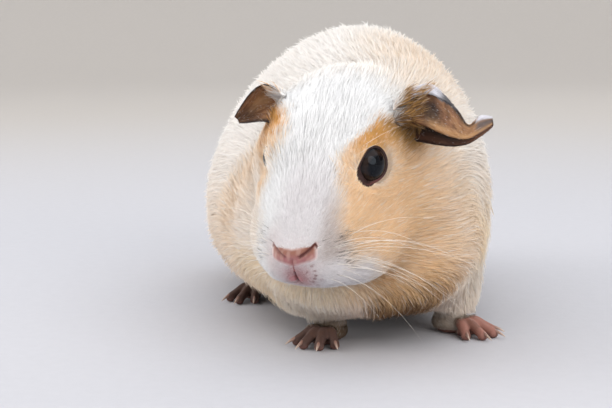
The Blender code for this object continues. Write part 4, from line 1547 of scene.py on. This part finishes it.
def build_ear_hair(mesh, middles, skin_below, material):
    """Short fine hair all over the ears, in the ears' own colours, that lies towards their tips."""
    h = to_head(middles)
    near = (np.abs(h[:, 0]) > 17.5) & (h[:, 2] > 8.0) & (h[:, 1] > 33.0)
    roots, normals = root_places(mesh, near, np.ones(len(middles)), EAR_TUFTS)
    parts = []
    for side, chosen, share, along, across, behind in place_on_ears(roots, normals):
        mine = (share > 0.5) & (along > 0.14) & (along < 0.96)
        ways = np.array([EARS[0 if side == LEFT else 1][3][i] for i in ear_places(side, roots[chosen[mine]])])
        colours = ear_colour(side, along[mine], across[mine], behind[mine])
        uv = np.stack((along[mine], across[mine] * 0.24 + 0.25 * behind[mine] + 0.5 * (side == LEFT)), axis=1)
        parts.append((roots[chosen[mine]], normals[chosen[mine]], ways, colours, uv))
    roots, normals, ways, colours, uv = (np.concatenate(column) for column in zip(*parts))
    count = len(roots)
    lies = ways - dot(ways, normals) * normals
    lies = unit(lies + np.cross(normals, lies) * RNG.normal(0, 0.15, count)[:, None])
    made = tufts(
        "coat_ears", skin_below, roots, normals, lies, RNG.uniform(0.7, 1.5, count) * MM,
        RNG.uniform(0.07, 0.13, count) * MM, np.radians(RNG.uniform(5, 13, count)), colours * 1.08, fit_map(uv),
        lock=3, pull=0.2,
    )
    keep(made, material)


WHISKER_ROWS, WHISKERS_IN_ROW = 4, 5


def skin_finder(skin):
    tree = KDTree(len(skin.data.vertices))
    for vertex in skin.data.vertices:
        tree.insert(vertex.co, vertex.index)
    tree.balance()
    return lambda place: tree.find(Vector(from_head(place)))[0]


def build_whiskers(skin):
    """Long pale whiskers that sweep back and droop, short dark hairs among their roots, and brow hairs."""
    draw = np.random.default_rng(3)
    find = skin_finder(skin)
    long_hairs, dark_hairs = bmesh.new(), bmesh.new()
    for side in SIDES.values():
        for row in range(WHISKER_ROWS):
            for column in range(WHISKERS_IN_ROW):
                place = np.array((side * (6.5 + 1.2 * column), 2.0 + 2.0 * column, 1.0 - 2.2 * row + 0.3 * column))
                rise = 0.30 - 0.20 * row + draw.uniform(-0.12, 0.12)
                way = np.array((side * draw.uniform(0.75, 1.0), draw.uniform(0.25, 0.7), rise))
                length = draw.uniform(20, 34) * (0.70 + 0.10 * column) * (1.0 if side == LEFT else 0.68)
                droop = draw.uniform(0.28, 0.62)
                whisker(long_hairs, find(place), Vector(head_way(way)).normalized(), length, droop)
        for brow in range(2):
            place = np.array((side * (9.5 + brow), 23.5 + 2.0 * brow, 17.0 + 1.5 * brow))
            way = np.array((side * 0.8, 0.55 + 0.15 * brow, 0.45))
            whisker(long_hairs, find(place), Vector(head_way(way)).normalized(), 13.0 + 3.0 * brow, 0.15, 0.06)
        for _ in range(170):
            place = np.array((side * draw.uniform(6.0, 12.0), draw.uniform(0.5, 8.0), draw.uniform(-5.0, 6.5)))
            way = np.array((side * draw.uniform(0.5, 0.9), draw.uniform(0.4, 0.9), draw.uniform(-0.3, 0.3)))
            whisker(dark_hairs, find(place), Vector(head_way(way)).normalized(), draw.uniform(2.0, 4.2), 0.1, 0.06)
    for bm, name, colour in (
        (long_hairs, "whiskers", (244, 236, 226)),
        (dark_hairs, "whisker_pad_hairs", (96, 84, 80)),
    ):
        made = object_from(bm, name)
        made.data.shade_smooth()
        paint(made.data, np.tile(linear(colour), (len(made.data.vertices), 1)))
        keep(made, tinted_material(name + "_look", 0.35, 0.05, 800.0, specular=0.5))


# ---------------------------------------------------------------- studio


STAGE_FLAT, STAGE_CURVE, STAGE_WALL = 1.3, 0.9, 0.8  # metres from the middle, radius, height of wall


def build_backdrop():
    """A pale floor that curves up into a wall all round, so that no view shows an edge."""
    profile = [(r, 0.0) for r in np.linspace(0.02, STAGE_FLAT, 24)]
    for k in range(1, 13):
        a = math.radians(90 * k / 12)
        profile.append((STAGE_FLAT + STAGE_CURVE * math.sin(a), STAGE_CURVE * (1 - math.cos(a))))
    profile.append((STAGE_FLAT + STAGE_CURVE, STAGE_CURVE + STAGE_WALL))
    around = 96
    angles = np.arange(around) / around * math.tau
    points = [(r * math.cos(a), r * math.sin(a), z) for r, z in profile for a in angles]
    quads = grid_polygons(len(profile), around, closed=True)[:, ::-1]
    middle = np.arange(around, dtype=np.int64)[None, ::1]
    mesh = mesh_of("studio_floor", np.array(points), [quads, middle])
    bm = bmesh.new()
    bm.from_mesh(mesh)
    bmesh.ops.recalc_face_normals(bm, faces=bm.faces)
    bm.faces.ensure_lookup_table()
    if max(bm.faces, key=lambda f: -f.calc_center_median().length).normal.z < 0:
        bmesh.ops.reverse_faces(bm, faces=bm.faces)
    bm.to_mesh(mesh)
    bm.free()
    far = np.linalg.norm(np.array(points)[:, :2], axis=1)
    paint(mesh, mix(linear(FLOOR_NEAR), linear(FLOOR_FAR), smooth(far, 0.15, 0.9)))
    mesh.shade_smooth()
    floor = object_of(mesh, "studio_floor")
    look = tinted_material("studio_floor_look", 0.85, 0.03, 260.0, bumps=(700.0, 0.15, 0.0004), specular=0.1)
    mesh.materials.append(look)


FLOOR_NEAR = (193, 193, 198)
FLOOR_FAR = (190, 185, 180)
SKY = (0.95, 0.97, 1.0, 1)
SKY_STRENGTH = 1.46
# Name, place, size in metres, power in watts, colour
LAMPS = (
    ("window", (-1.20, 0.10, 0.40), 0.9, 6.5, (1.0, 0.99, 0.98)),
    ("key", (-0.80, -0.50, 0.95), 1.0, 1.6, (1.0, 0.98, 0.96)),
    ("front_fill", (0.62, -1.00, 0.55), 1.0, 7.1, (1.0, 0.98, 0.96)),
    ("rim", (0.50, 0.85, 0.80), 0.9, 1.4, (0.96, 0.98, 1.0)),
)
LIT_POINT = Vector((0.0, -0.02, 0.04))


def build_studio():
    build_backdrop()
    world = bpy.data.worlds.new("studio")
    bpy.context.scene.world = world
    world.use_nodes = True
    background = world.node_tree.nodes["Background"]
    background.inputs["Color"].default_value = SKY
    background.inputs["Strength"].default_value = SKY_STRENGTH
    for name, place, size, power, colour in LAMPS:
        data = bpy.data.lights.new(name, "AREA")
        data.energy = power
        data.shape = "DISK"
        data.size = size
        data.color = colour
        lamp = bpy.data.objects.new(name, data)
        bpy.context.scene.collection.objects.link(lamp)
        lamp.location = place
        lamp.rotation_mode = "QUATERNION"
        lamp.rotation_quaternion = (LIT_POINT - Vector(place)).to_track_quat("-Z", "Y")


CAMERA_AZIMUTH = math.radians(-3.3)
CAMERA_ELEVATION = math.radians(8.0)
CAMERA_DISTANCE = 0.430
CAMERA_TARGET = Vector((-21.0, -60.0, 43.3)) * MM
CAMERA_LENS = 87.7


def build_camera():
    data = bpy.data.cameras.new("camera")
    data.sensor_width = 36.0
    data.lens = CAMERA_LENS
    data.clip_start = 0.01
    camera = bpy.data.objects.new("camera", data)
    bpy.context.scene.collection.objects.link(camera)
    a, e = CAMERA_AZIMUTH, CAMERA_ELEVATION
    back = Vector((math.sin(a) * math.cos(e), -math.cos(a) * math.cos(e), math.sin(e)))
    camera.location = STAND + CAMERA_TARGET + back * CAMERA_DISTANCE
    camera.rotation_mode = "QUATERNION"
    camera.rotation_quaternion = (-back).to_track_quat("-Z", "Y")
    bpy.context.scene.camera = camera


build_all()
build_studio()
build_camera()
bpy.context.scene.view_settings.view_transform = "Standard"
